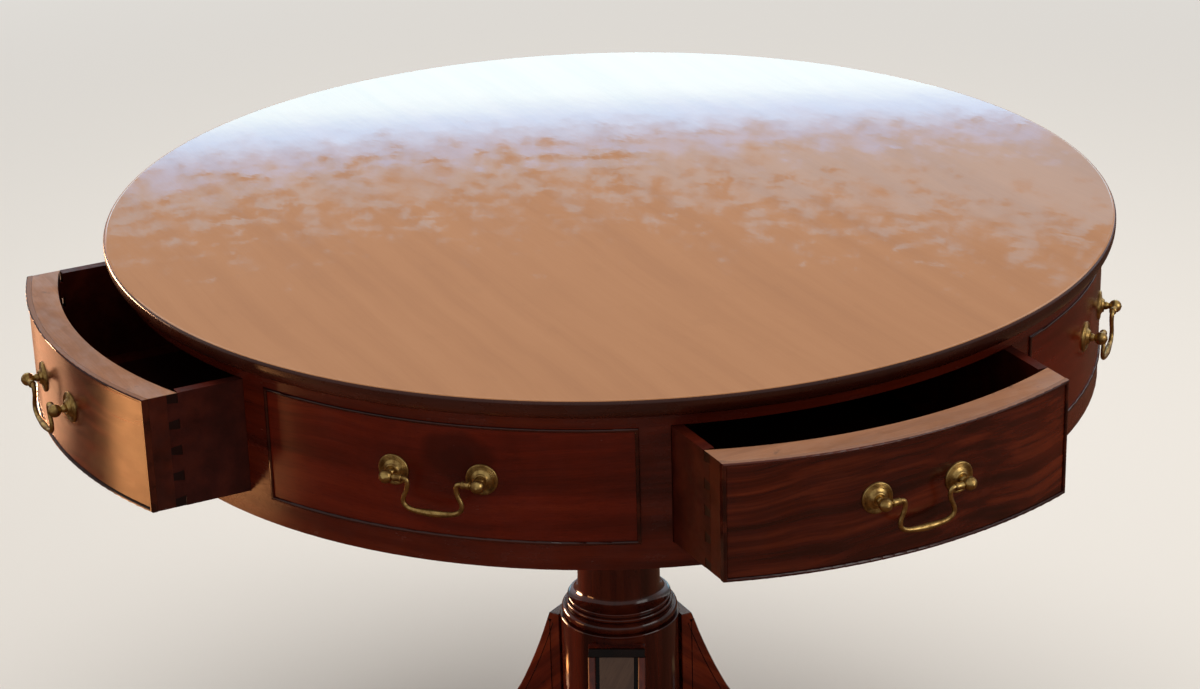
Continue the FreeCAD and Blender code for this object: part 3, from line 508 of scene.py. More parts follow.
class Effects:
    """Builds the shared effects once: drum coordinates, wood figure, polish, patina, crotch and tarnish."""

    def __init__(self, drum_radius: float, front_middle: float) -> None:
        """Builds every group.

        Args:
            drum_radius: The frieze's radius, along which bent veneer runs.
            front_middle: The height of the fronts' middle.
        """
        self.round = self.drum_coordinates(drum_radius)
        self.figure = self.wood_figure()
        self.polish = self.hand_polish()
        self.patina = self.old_patina()
        self.tarnish = self.brass_tarnish()
        self.crotch = self.crotch_swirl(drum_radius, front_middle)

    @staticmethod
    def drum_coordinates(drum_radius: float) -> Effect:
        """Unrolls the drum, so that grain follows its curve: arc length, depth and height.

        Args:
            drum_radius: The radius at which arcs are measured.

        Returns:
            The effect.
        """
        effect = Effect("drum_coordinates", ["Vector"], "Vector")
        nodes = effect.nodes
        apart = nodes.add("SeparateXYZ", {0: effect.inside["Vector"]}).outputs
        angle = nodes.math("ARCTAN2", apart["X"], nodes.math("MULTIPLY", apart["Y"], -1.0))
        squares = [nodes.math("POWER", apart[axis], 2.0) for axis in "XY"]
        radius = nodes.math("SQRT", nodes.math("ADD", *squares))
        joined = nodes.add("CombineXYZ", {0: nodes.math("MULTIPLY", angle, drum_radius),
                                          1: nodes.math("SUBTRACT", radius, drum_radius), 2: apart["Z"]})
        return effect.give({"Vector": joined.outputs[0]})

    @staticmethod
    def wood_figure() -> Effect:
        """Mahogany's figure along X: ribbon streaks, fibres and short dark pores.

        Returns:
            The effect.
        """
        effect = Effect("wood_figure", ["Figure", "Pores", "Height"], Streak=1.0, Swirl=0.02, Ribbon=0.6)
        nodes = effect.nodes
        source = effect.inside["Vector"]
        drift = nodes.add("TexNoise", {"Vector": source, "Scale": DRIFT, "Detail": 2.0})
        centred = nodes.vector("SUBTRACT", drift.outputs["Color"], (0.5, 0.5, 0.5))
        bent = nodes.vector("ADD", source, nodes.vector("SCALE", centred, scale=effect.inside["Swirl"]))
        streaked = nodes.vector("SCALE", bent, scale=effect.inside["Streak"])
        ribbon = nodes.ramp(nodes.noise(streaked, RIBBON, roughness=0.55), 0.28, 0.72)
        cloud = nodes.noise(bent, CLOUD, detail=2)
        fibre = nodes.noise(bent, FIBRE, detail=2, roughness=0.6)
        pores = nodes.ramp(nodes.noise(bent, FLECK, detail=1), 0.6, 0.74)
        plain = nodes.math("ADD", nodes.math("MULTIPLY", cloud, 0.55), nodes.math("MULTIPLY", fibre, 0.45))
        mixed = nodes.add("Mix", {0: effect.inside["Ribbon"], 2: plain, 3: ribbon}, data_type="FLOAT")
        height = nodes.math("SUBTRACT", fibre, pores)
        return effect.give({"Figure": mixed.outputs[0], "Pores": pores, "Height": height})

    @staticmethod
    def hand_polish() -> Effect:
        """A rubbed shellac surface: uneven gloss, faint waves, cloudy rub marks and fine scratches.

        Returns:
            The effect.
        """
        effect = Effect("hand_polish", ["Roughness", "Height"], Clean=0.14, Dull=0.3)
        nodes = effect.nodes
        source = effect.inside["Vector"]
        smear = nodes.noise(source, SMEAR, detail=6, roughness=0.62)
        rub = nodes.noise(source, RUB, detail=4, roughness=0.6)
        across = nodes.ramp(nodes.noise(source, SCRATCH_ACROSS, detail=1), 0.7, 0.76)
        along = nodes.ramp(nodes.noise(source, SCRATCH_ALONG, detail=1), 0.72, 0.78)
        scratches = nodes.math("MAXIMUM", across, along)
        worn = nodes.math("ADD", nodes.math("MULTIPLY", smear, 0.6), nodes.math("MULTIPLY", rub, 0.4))
        dull = nodes.math("ADD", nodes.ramp(worn, 0.36, 0.66), nodes.math("MULTIPLY", scratches, 0.06))
        rough = nodes.add("MapRange", {0: dull, 1: 0.0, 2: 1.0, 3: effect.inside["Clean"],
                                       4: effect.inside["Dull"]})
        wave = nodes.noise(source, WAVE, detail=4)
        height = nodes.math("SUBTRACT", wave, nodes.math("MULTIPLY", scratches, 0.001))
        return effect.give({"Roughness": rough.outputs[0], "Height": height})

    @staticmethod
    def old_patina() -> Effect:
        """Where age has darkened the wood: broad shade and small dark stains.

        Returns:
            The effect.
        """
        effect = Effect("old_patina", ["Shade", "Spots"], Stain=0.3)
        nodes = effect.nodes
        source = effect.inside["Vector"]
        shade = nodes.ramp(nodes.noise(source, SHADE, detail=4, roughness=0.6), 0.3, 0.7)
        blot = nodes.ramp(nodes.noise(source, BLOT, detail=5, roughness=0.65), 0.58, 0.7)
        return effect.give({"Shade": shade, "Spots": nodes.math("MULTIPLY", blot, effect.inside["Stain"])})

    @staticmethod
    def crotch_swirl(drum_radius: float, front_middle: float) -> Effect:
        """The dark oval of a branch crotch in each fixed front, with faint rings round it.

        Args:
            drum_radius: The radius of the fronts.
            front_middle: The height of their middle.

        Returns:
            The effect.
        """
        aside, rise, flatness = 24 * MM, 25.25 * MM, 0.7
        core, fringe, stray = 28 * MM, 50 * MM, 30 * MM
        ring_pitch, ring_start, ring_end, ring_strength = 17 * MM, 40 * MM, 130 * MM, 0.16
        effect = Effect("crotch_swirl", ["Dark"])
        nodes = effect.nodes
        source = effect.inside["Vector"]
        apart = nodes.add("SeparateXYZ", {0: source}).outputs
        pitch = drum_radius * QUARTER
        shifted = nodes.math("ADD", apart["X"], 0.5 * pitch - aside)
        across = nodes.math("MULTIPLY", nodes.math("WRAP", shifted, 0.5 * pitch, -0.5 * pitch), flatness)
        level = nodes.math("SUBTRACT", apart["Z"], front_middle + rise)
        squares = [nodes.math("POWER", part, 2.0) for part in (across, level)]
        away = nodes.math("SQRT", nodes.math("ADD", *squares))
        wobble = nodes.math("MULTIPLY", nodes.noise(source, WOBBLE), stray)
        grown = nodes.math("ADD", away, wobble)
        rings = nodes.math("SINE", nodes.math("MULTIPLY", grown, TURN / ring_pitch))
        fading = nodes.math("MULTIPLY", nodes.ramp(grown, ring_end, ring_start), ring_strength)
        dark = nodes.math("ADD", nodes.ramp(grown, fringe, core), nodes.math("MULTIPLY", rings, fading),
                          clamp=True)
        return effect.give({"Dark": dark})

    @staticmethod
    def brass_tarnish() -> Effect:
        """Old brass: brown tarnish in cloudy patches, with specks.

        Returns:
            The effect.
        """
        effect = Effect("brass_tarnish", ["Tarnish", "Height"])
        nodes = effect.nodes
        source = effect.inside["Vector"]
        cloud = nodes.ramp(nodes.noise(source, TARNISH, detail=5, roughness=0.65), 0.36, 0.68)
        speck = nodes.ramp(nodes.noise(source, SPECK, detail=2), 0.6, 0.75)
        tarnish = nodes.math("ADD", cloud, nodes.math("MULTIPLY", speck, 0.3), clamp=True)
        return effect.give({"Tarnish": tarnish, "Height": nodes.noise(source, PITTING)})


class Grain(Enum):
    """Which way the grain of a piece runs."""

    STRAIGHT = "straight along the piece"
    ROUND = "round the drum"


STREAK_STOPS = (0.18, 0.5, 0.82)
STAIN_DEPTH = 0.3

# What covers a part of some finishes: how strongly, and in which colour. The first is painted shade inside
# the drawer boxes; the dark pins and the worn bead tops are the wood's own colour.
# Painted shade: near-black over the inside of a drawer box, where shadow falls.
BOX_PAINTED_SHADE = (0.8, "0a0403")
PIN_WOOD = (0.85, "120605")
WORN_WOOD = (0.6, "8e5e3e")


@dataclass(frozen=True)
class WoodFinish:
    """A kind of wood surface: its colours, figure, gloss and the way its grain runs.

    Attributes:
        name: The material's name.
        dark: Hex colour of the dark streaks, the pores and the shade of age.
        middle: Hex colour between the streaks.
        light: Hex colour of the light streaks.
        grain: Whether the grain runs straight or round the drum.
        turn: The angle of straight grain about the Z axis.
        tilt: How far the grain leans from level.
        offset: Which part of the figure the piece is cut from.
        depth: How fast the figure changes below the surface.
        streak: How narrow the streaks are.
        swirl: How far the figure wanders.
        ribbon: The streaks' share of the figure.
        pores: How dark the pores are.
        clean: The roughness where the polish is whole.
        dull: The roughness where it is rubbed.
        wave: The height of the polish's waves, in millimetres.
        stain: How dark the stains are.
        shade: How far age has darkened it.
        texture: How much the fibres stand out.
        crotch: How dark the oval of a branch crotch is.
        inside: Half the width within which painted shade darkens the wood, as the inside of a box in
            shadow.
        pins: The depth from which the wood is dark, as the pins of dovetails are.
        worn_above: The height above which it is worn pale.
        specular: How strongly it mirrors.
    """

    name: str
    dark: str
    middle: str
    light: str
    grain: Grain = Grain.STRAIGHT
    turn: float = 0.0
    tilt: float = 0.0
    offset: tuple[float, float, float] = (0.0, 0.0, 0.0)
    depth: float = 1.0
    streak: float = 1.0
    swirl: float = 0.03
    ribbon: float = 0.6
    pores: float = 0.5
    clean: float = 0.16
    dull: float = 0.34
    wave: float = 0.12
    stain: float = 0.3
    shade: float = 0.35
    texture: float = 0.12
    crotch: float = 0.0
    inside: float = 0.0
    pins: float = 0.0
    worn_above: float = 0.0
    specular: float = 0.5

    def material(self, effects: Effects) -> bpy.types.Material:
        """Builds the finish as a node material.

        Args:
            effects: The shared node groups.

        Returns:
            The material.
        """
        made, tree, shader = start_material(self.name)
        place = tree.add("TexCoord").outputs["Object"]
        along = self.along_grain(tree, effects, place)
        figure = effects.figure.use(tree, {"Vector": along, "Streak": self.streak, "Swirl": self.swirl,
                                           "Ribbon": self.ribbon})
        aged = self.aged_colour(tree, effects, along, figure)
        marked = self.marked_colour(tree, effects, along, place, aged)
        polish = effects.polish.use(tree, {"Vector": along, "Clean": self.clean, "Dull": self.dull})
        fibres = tree.add("Bump", {"Strength": self.texture, "Distance": FIBRE_RELIEF,
                                   "Height": figure["Height"]})
        waves = tree.add("Bump", {"Strength": 1.0, "Distance": self.wave * MM, "Height": polish["Height"],
                                  "Normal": fibres.outputs[0]})
        tree.feed(shader, {"Base Color": marked, "Roughness": polish["Roughness"],
                           "Normal": waves.outputs[0], "Specular IOR Level": self.specular})
        return made

    def along_grain(self, tree: Tree, effects: Effects,
                    place: bpy.types.NodeSocket) -> bpy.types.NodeSocket:
        """Turns places on the piece into places along its grain.

        Args:
            tree: The material's tree.
            effects: The shared node groups.
            place: The piece's own coordinates.

        Returns:
            Coordinates whose X runs along the grain.
        """
        if self.grain is Grain.ROUND:
            along = effects.round.use(tree, {"Vector": place})["Vector"]
        else:
            along = tree.add("Mapping", {"Vector": place, "Rotation": (0, 0, -self.turn)}).outputs[0]
        return tree.add("Mapping", {"Vector": along, "Rotation": (0, self.tilt, 0), "Location": self.offset,
                                    "Scale": (1, self.depth, 1)}).outputs[0]

    def aged_colour(self, tree: Tree, effects: Effects, along: bpy.types.NodeSocket,
                    figure: bpy.types.NodeOutputs) -> bpy.types.NodeSocket:
        """Colours the figure and darkens it with pores, shade and stains.

        Args:
            tree: The material's tree.
            effects: The shared node groups.
            along: Coordinates along the grain.
            figure: What the figure's group gives.

        Returns:
            The colour.
        """
        dark = colour(self.dark)
        colours = tree.add("ValToRGB", {0: figure["Figure"]})
        stops = colours.color_ramp.elements
        stops[0].position, stops[0].color = STREAK_STOPS[0], dark
        stops[1].position, stops[1].color = STREAK_STOPS[2], colour(self.light)
        stops.new(STREAK_STOPS[1]).color = colour(self.middle)
        patina = effects.patina.use(tree, {"Vector": along, "Stain": self.stain})
        pored = tree.blend(tree.math("MULTIPLY", figure["Pores"], self.pores), colours.outputs[0], dark)
        aged = tree.blend(tree.math("MULTIPLY", patina["Shade"], self.shade), pored, dark)
        return tree.blend(patina["Spots"], aged, tuple(STAIN_DEPTH * part for part in dark[:3]) + (1.0,))

    def marked_colour(self, tree: Tree, effects: Effects, along: bpy.types.NodeSocket,
                      place: bpy.types.NodeSocket, aged: bpy.types.NodeSocket) -> bpy.types.NodeSocket:
        """Adds the marks that only some finishes have, painted shade inside drawer boxes among them.

        Args:
            tree: The material's tree.
            effects: The shared node groups.
            along: Coordinates along the grain.
            place: The piece's own coordinates.
            aged: The colour so far.

        Returns:
            The marked colour.
        """
        marks = []
        if self.crotch:
            marks.append((effects.crotch.use(tree, {"Vector": along})["Dark"], self.crotch, self.dark))
        # Painted shade: darkens what lies within self.inside of the box's middle line, as if the inside
        # were in shadow.
        if self.inside:
            across = tree.math("ABSOLUTE", tree.add("SeparateXYZ", {0: along}).outputs["X"])
            marks.append((tree.math("LESS_THAN", across, self.inside), *BOX_PAINTED_SHADE))
        if self.pins:
            depth = tree.add("SeparateXYZ", {0: along}).outputs["Y"]
            marks.append((tree.math("GREATER_THAN", depth, self.pins), *PIN_WOOD))
        if self.worn_above:
            height = tree.add("SeparateXYZ", {0: place}).outputs["Z"]
            marks.append((tree.math("GREATER_THAN", height, self.worn_above), *WORN_WOOD))
        for mask, strength, tone in marks:
            aged = tree.blend(tree.math("MULTIPLY", mask, strength), aged, colour(tone))
        return aged


@dataclass(frozen=True)
class MetalFinish:
    """An old metal surface with tarnish."""

    name: str
    bright: str
    tarnished: str
    clean: float = 0.24
    dull: float = 0.5

    def material(self, effects: Effects) -> bpy.types.Material:
        """Builds the finish as a node material.

        Args:
            effects: The shared node groups.

        Returns:
            The material.
        """
        made, tree, shader = start_material(self.name)
        place = tree.add("TexCoord").outputs["Object"]
        tarnish = effects.tarnish.use(tree, {"Vector": place})
        skin = tree.blend(tarnish["Tarnish"], colour(self.bright), colour(self.tarnished))
        rough = tree.ramp(tarnish["Tarnish"], 0, 1, self.clean, self.dull)
        bump = tree.add("Bump", {"Strength": 0.4, "Distance": PITTING_RELIEF, "Height": tarnish["Height"]})
        tree.feed(shader, {"Base Color": skin, "Roughness": rough, "Normal": bump.outputs[0],
                           "Metallic": 1.0})
        return made


Finish = WoodFinish | MetalFinish


class Slot(Enum):
    """The record's material slots of the pieces modelled here."""

    TOP = "mahogany_top"
    FRONT = "mahogany_front"
    DARK = "mahogany_dark"
    BRASS = "brass"


@dataclass
class Workshop:
    """What every sub-assembly needs: the frame, the effects and the finishes made so far."""

    nodes: dict[str, bpy.types.Object]
    effects: Effects
    made: dict[str, bpy.types.Material] = field(default_factory=dict)
    pieces: list[bpy.types.Object] = field(default_factory=list)

    def finish(self, finish: Finish) -> bpy.types.Material:
        """Builds a finish the first time that it is wanted.

        Args:
            finish: The finish.

        Returns:
            Its material.
        """
        if finish.name not in self.made:
            self.made[finish.name] = finish.material(self.effects)
        return self.made[finish.name]

    def dress_node(self, node: str, finish: Finish) -> None:
        """Gives a frame node its finish."""
        self.nodes[node].material_slots[0].material = self.finish(finish)

    def coat(self, piece: bpy.types.Object, finishes: Sequence[Finish]) -> None:
        """Gives a piece its finishes, unless it has some.

        Args:
            piece: The piece.
            finishes: Its finishes, in the order of its material slots.
        """
        if not piece.data.materials:
            for finish in finishes:
                piece.data.materials.append(self.finish(finish))

    def add(self, piece: bpy.types.Object, body: str, slot: Slot, replaced: Iterable[str],
            finishes: Sequence[Finish]) -> None:
        """Dresses a new piece, lets it ride on its body and hides the frame nodes that it stands for.

        Args:
            piece: The finished piece.
            body: The frame body that it moves with.
            slot: The record's material slot of its finish; not used.
            replaced: Frame nodes that it stands for.
            finishes: Its finishes, in the order of its material slots.
        """
        self.coat(piece, finishes)
        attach(piece, body)
        names = list(replaced)
        if names:
            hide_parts(*names)
        self.pieces.append(piece)
        log.info("%s rides on %s", piece.name, body)


@dataclass(frozen=True)
class SkyBand:
    """One band of the sky that the polished top mirrors, by the height of the line of sight.

    Attributes:
        start: Where it begins to show.
        end: Where it shows in full.
        ragged: How far its edge strays.
        lean: How far its edge falls towards the right.
        tone: Its light.
    """

    start: float
    end: float
    ragged: float
    lean: float
    tone: Colour


ROOM = (0.42, 0.41, 0.40, 1)
LOW_SKY = (0.76, 0.77, 0.84, 1)
HIGH_SKY = (1.35, 1.3, 1.25, 1)
SKY_BANDS = (SkyBand(0.342, 0.328, 0.150, -0.13, (0.55, 0.98, 1.2, 1)),
             SkyBand(0.329, 0.318, 0.060, 0.0, (0.62, 1.5, 2.45, 1)),
             SkyBand(0.3215, 0.312, 0.018, 0.0, (1.25, 2.8, 4.2, 1)),
             SkyBand(0.314, 0.304, 0.0, 0.0, (2.45, 4.0, 4.6, 1)))
SKY_WISPS = (80, 400, 1)
SKY_TILT = 0.02
# Between which heights, or how near the middle, the parts of the sky show.
WINDOW_WIDTH = (math.cos(math.radians(20)), math.cos(math.radians(12.5)))
WINDOW_FOOT = (0.2, 0.27)
SKY_WIDTH = (0.2, 0.75)
LOW_SKY_HEAD = (0.33, 0.28)
HIGH_SKY_FOOT = (0.442, 0.458)
HIGH_SKY_HEAD = (0.68, 0.62)


@dataclass(frozen=True)
class Lamp:
    """A rectangular soft lamp: its place, what it points at, its size, its watts and its colour."""

    name: str
    place: tuple[float, float, float]
    target: tuple[float, float, float]
    size: Point
    power: float
    tint: tuple[float, float, float]

    def hang(self) -> bpy.types.Object:
        """Hangs the lamp.

        Returns:
            The lamp's object.
        """
        lamp = bpy.data.lights.new(self.name, "AREA")
        lamp.shape = "RECTANGLE"
        lamp.size, lamp.size_y = self.size
        lamp.energy = self.power
        lamp.color = self.tint
        holder = bpy.data.objects.new(self.name, lamp)
        holder.location = self.place
        aim = Vector(self.target) - Vector(self.place)
        holder.rotation_euler = aim.to_track_quat("-Z", "Y").to_euler()
        bpy.context.scene.collection.objects.link(holder)
        return holder


TABLE = (0.0, 0.0, 0.6)
LEFT_FRONT = (-0.64, 0.0, 0.66)
OVERHEAD = Lamp("overhead", (0.6, 1.0, 3.6), TABLE, (3.4, 3.4), 128, (1, 0.98, 0.95))
FRONT_LAMP = Lamp("front", (2.4, -3.4, 2.4), TABLE, (2.4, 2.4), 36, (1, 0.96, 0.92))
LOW_LAMPS = (Lamp("low_back", (-1.5, 2.5, 0.35), LEFT_FRONT, (1.1, 0.5), 120, (1, 0.52, 0.28)),
             Lamp("low_side", (-1.66, 0.5, 0.02), LEFT_FRONT, (0.6, 0.5), 8, (1, 0.42, 0.15)),
             Lamp("low_rear", (-0.93, 1.4, 0.14), LEFT_FRONT, (0.7, 0.34), 1.3, (1, 0.48, 0.25)))


@dataclass
class Studio:
    """Camera, floor and light."""

    table_height: float
    top: bpy.types.Object
    brasses: Sequence[bpy.types.Object]
    camera_place: tuple[float, float] = (-1.36161, -2.72931)
    camera_rise: float = 1.10292
    heading: float = -0.45818
    pitch: float = 0.39616
    roll: float = -0.02887
    lens: float = 88.331
    sensor: float = 36.0
    floor_size: float = 40.0
    haze: Point = (1.2, 5.0)
    backdrop: Colour = colour("e6e3de")

    def build(self) -> None:
        """Sets up everything around the object."""
        self.add_camera()
        self.add_floor()
        self.add_world()
        self.add_lamps()

    def add_camera(self) -> None:
        """Puts the camera where the table is seen from."""
        lens = bpy.data.cameras.new("view")
        lens.sensor_fit = "HORIZONTAL"
        lens.sensor_width = self.sensor
        lens.lens = self.lens
        lens.clip_end = 100
        camera = bpy.data.objects.new("view", lens)
        bpy.context.scene.collection.objects.link(camera)
        ahead = Vector((0, math.cos(self.pitch), -math.sin(self.pitch)))
        right = Vector((1, 0, 0))
        above = right.cross(ahead)
        side = math.cos(self.roll) * right + math.sin(self.roll) * above
        upward = math.cos(self.roll) * above - math.sin(self.roll) * right
        facing = Matrix((side, upward, -ahead)).transposed().to_4x4()
        swing = Matrix.Rotation(self.heading, 4, "Z")
        stand = (*self.camera_place, self.table_height + self.camera_rise)
        camera.matrix_world = Matrix.Translation(stand) @ swing @ facing
        bpy.context.scene.camera = camera

    def add_floor(self) -> None:
        """Lays a wide pale floor that fades into the backdrop, and is brown in what mirrors it."""
        Bench.clear()
        bpy.ops.mesh.primitive_plane_add(size=self.floor_size)
        floor = bpy.context.object
        floor.name = "floor"
        made, tree, shader = start_material("pale_floor")
        path = tree.add("LightPath").outputs
        tone = tree.blend(path["Is Glossy Ray"], colour("dedad4"), colour("5a3c28"))
        tree.feed(shader, {"Base Color": tone, "Roughness": 0.9})
        distance = tree.vector("LENGTH", tree.add("TexCoord").outputs["Object"], result="Value")
        far = tree.math("MULTIPLY", tree.ramp(distance, *self.haze), path["Is Camera Ray"])
        glow = tree.add("Emission", {"Color": self.backdrop})
        joined = tree.add("MixShader", {0: far, 1: shader.outputs[0], 2: glow.outputs[0]})
        tree.feed(made.node_tree.nodes["Material Output"], {"Surface": joined.outputs[0]})
        floor.data.materials.append(made)

    def add_world(self) -> None:
        """Makes a pale room with a sky behind the table that only its polish mirrors."""
        world = bpy.data.worlds.new("studio")
        bpy.context.scene.world = world
        world.use_nodes = True
        tree = Tree(world.node_tree)
        path = tree.add("LightPath").outputs
        lit = self.mirrored_sky(tree, path["Is Glossy Ray"])
        seen = tree.blend(path["Is Camera Ray"], lit, self.backdrop)
        tree.feed(world.node_tree.nodes["Background"], {"Color": seen})

    def mirrored_sky(self, tree: Tree, glossy: bpy.types.NodeSocket) -> bpy.types.NodeSocket:
        """Paints the room and, for mirrored rays, the sky bands opposite the camera.

        Args:
            tree: The world's tree.
            glossy: Whether a ray comes from a mirroring surface.

        Returns:
            The light from each direction.
        """
        look = tree.add("TexCoord").outputs["Generated"]
        height = tree.add("SeparateXYZ", {0: look}).outputs["Z"]
        away, across = math.sin(-self.heading), math.cos(self.heading)
        behind = tree.vector("DOT_PRODUCT", look, (away, across, 0), result="Value")
        aside = tree.vector("DOT_PRODUCT", look, (across, -away, 0), result="Value")
        place = tree.add("CombineXYZ", {0: aside, 1: height}).outputs[0]
        wisp = tree.math("SUBTRACT", tree.noise(place, SKY_WISPS, detail=8, roughness=0.66), 0.5)
        slope = tree.math("ADD", height, tree.math("MULTIPLY", aside, SKY_TILT))
        level = tree.math("SQRT", tree.math("SUBTRACT", 1.0, tree.math("POWER", height, 2.0)))
        ahead = tree.ramp(tree.math("DIVIDE", behind, level), *WINDOW_WIDTH)
        wide = tree.math("MULTIPLY", tree.ramp(behind, *SKY_WIDTH), glossy)
        raised = tree.math("MULTIPLY", ahead, tree.ramp(height, *WINDOW_FOOT))
        facing = tree.math("MULTIPLY", raised, glossy)
        lit = tree.blend(tree.math("MULTIPLY", tree.ramp(slope, *LOW_SKY_HEAD), wide), ROOM, LOW_SKY)
        right = tree.math("MAXIMUM", aside, 0.0)
        for band in SKY_BANDS:
            edge = tree.math("ADD", slope, tree.math("MULTIPLY", wisp, band.ragged))
            edge = tree.math("ADD", edge, tree.math("MULTIPLY", right, band.lean))
            share = tree.math("MULTIPLY", tree.ramp(edge, band.start, band.end), facing)
            lit = tree.blend(share, lit, band.tone)
        above = tree.math("MULTIPLY", tree.ramp(slope, *HIGH_SKY_FOOT), tree.ramp(slope, *HIGH_SKY_HEAD))
        return tree.blend(tree.math("MULTIPLY", above, wide), lit, HIGH_SKY)

    def add_lamps(self) -> None:
        """Hangs the lamps: a large one overhead, one in front, and low warm ones that spare the floor."""
        OVERHEAD.hang().visible_glossy = False
        front = FRONT_LAMP.hang()
        front.light_linking.receiver_collection = self.spare("spared_by_front_lamp", [self.top])
        spared = self.spare("spared_by_low_lamps", [bpy.data.objects["floor"], *self.brasses])
        for lamp in LOW_LAMPS:
            low = lamp.hang()
            low.visible_camera = False
            low.light_linking.receiver_collection = spared

    @staticmethod
    def spare(name: str, pieces: Iterable[bpy.types.Object]) -> bpy.types.Collection:
        """Gathers pieces that a lamp leaves out.

        Args:
            name: The collection's name.
            pieces: What the lamp doesn't light.

        Returns:
            The collection for the lamp's light linking.
        """
        spared = bpy.data.collections.new(name)
        for piece in pieces:
            spared.objects.link(piece)
        for member in spared.collection_objects:
            member.light_linking.link_state = "EXCLUDE"
        return spared


# The top's two finishes: polished_top's pale tan is partly the wood's own paler tone, partly painted light
# and reflection on the faces turned upwards; top_edge keeps the dark mahogany of the rest.
POLISHED_TOP = WoodFinish("polished_top", "9d6a43", "a67249", "ac784f", turn=QUARTER, streak=0.7,
                          ribbon=0.3, swirl=0.03, pores=0.2, clean=0.008, dull=0.028, wave=0.05,
                          shade=0.1, stain=0.04, texture=0.003)
TOP_EDGE = WoodFinish("top_edge", "260a05", "3c1407", "4e1c0c", grain=Grain.ROUND, ribbon=0.4, stain=0.2,
                      clean=0.22, dull=0.36, texture=0.04)
BRASS = MetalFinish("aged_brass", "d4b26e", "8e6a3c", clean=0.28, dull=0.46)
IRON = MetalFinish("black_iron", "3a3632", "1f1a17", clean=0.45, dull=0.7)
CARCASE = WoodFinish("carcase_wood", "3c2113", "543220", "6b4530", clean=0.55, dull=0.8, wave=0.03)
FRIEZE = WoodFinish("frieze_veneer", "300a03", "521506", "682108", grain=Grain.ROUND, ribbon=0.45,
                    stain=0.1, texture=0.04, specular=0.4)
DUMMY = WoodFinish("dummy_veneer", "3a0b02", "601604", "742207", grain=Grain.ROUND, ribbon=0.35, swirl=0.06,
                   crotch=0.9, stain=0.06, clean=0.2, dull=0.28, specular=0.3)
BEAD = WoodFinish("bead_strip", "220805", "3a1209", "4e1c0e", grain=Grain.ROUND, clean=0.07, dull=0.14)
TURNED = WoodFinish("turned_column", "240904", "40140a", "541e0e", tilt=QUARTER, clean=0.07, dull=0.16,
                    stain=0.1)
# Dark stringing lines; on the legs the same finish is also painted shade in the stop's recess and in the
# grooves.
STRINGING_AND_SHADE = WoodFinish("dark_stringing_and_painted_shade", "0c0403", "140805", "1c0c07", specular=0.15)
# Painted sheen: the reeded panel's pale grey-brown stands in for the sky that its upward slope mirrors.
REED_PAINTED_SHEEN = WoodFinish("leg_reed_painted_sheen", "3c2619", "5e402c", "745840", tilt=math.radians(60), ribbon=0.3, clean=0.14,
                  dull=0.24)

# The axis that each drawer slides along, and the corner of its front's box that lies outside.
X_AXIS, Y_AXIS = 0, 1
LOW, HIGH = 0, 1
DRAWER_SIDES = {1: (Y_AXIS, LOW), 2: (X_AXIS, HIGH), 3: (Y_AXIS, HIGH), 4: (X_AXIS, LOW)}
LEGS = (1, 2, 3)
LEG_PITCH = TURN / len(LEGS)
# The leg's second slot is painted shade, in the stop's recess and the grooves; its third is painted sheen
# on the reeded panel.
LEG_PAINTED_SHADE, LEG_PAINTED_SHEEN = 1, 2


def drawer_veneer(number: int) -> WoodFinish:
    """The veneer of one drawer front, cut from its own part of the flitch."""
    return WoodFinish(f"drawer_{number}_veneer", "2a0a03", "4a1305", "6c250c", turn=QUARTER * (number - 1),
                      tilt=math.radians(4), offset=(1.7 * number, 0.3 * number, 0.11 * number), depth=0.05,
                      ribbon=0.6, streak=1.7, swirl=0.09, stain=0.05, shade=0.6, clean=0.18, dull=0.26,
                      wave=0.05)


def front_end(number: int, pins_from: float) -> WoodFinish:
    """The end wood of one drawer front: the lap in front, and behind it the dark pins of the dovetails."""
    return WoodFinish(f"drawer_{number}_end", "300c03", "4a1506", "5e2009", turn=QUARTER * (number - 1),
                      ribbon=0.3, clean=0.3, dull=0.5, pins=pins_from, specular=0.2)


def lining(number: int, painted_shade_half: float) -> WoodFinish:
    """The wood of one drawer box, with painted shade darkening its inside against the faces that run in the
    drum.
    """
    return WoodFinish(f"drawer_{number}_lining", "2c0802", "421005", "541a08", turn=QUARTER * (number - 1),
                      ribbon=0.35, clean=0.4, dull=0.65, wave=0.03, inside=painted_shade_half, specular=0.15)


def bare_edge(number: int) -> WoodFinish:
    """The unpolished wood on the upper edge of one drawer front; the front's unpolished inside takes the
    end wood's finish.
    """
    return WoodFinish(f"drawer_{number}_bare", "6a4228", "8e5e3e", "a87a54", turn=QUARTER * (number - 1),
                      ribbon=0.3, clean=0.4, dull=0.7, wave=0.03, stain=0.75)


def leg_wood(number: int) -> WoodFinish:
    """The wood of one leg, with its grain along the sweep."""
    return WoodFinish(f"leg_{number}_wood", "380e05", "5e1d0a", "7a2e11", turn=LEG_PITCH * (number - 1),
                      tilt=math.radians(-42), offset=(0.4 * number, 0.2, 0.0), clean=0.12, dull=0.26)


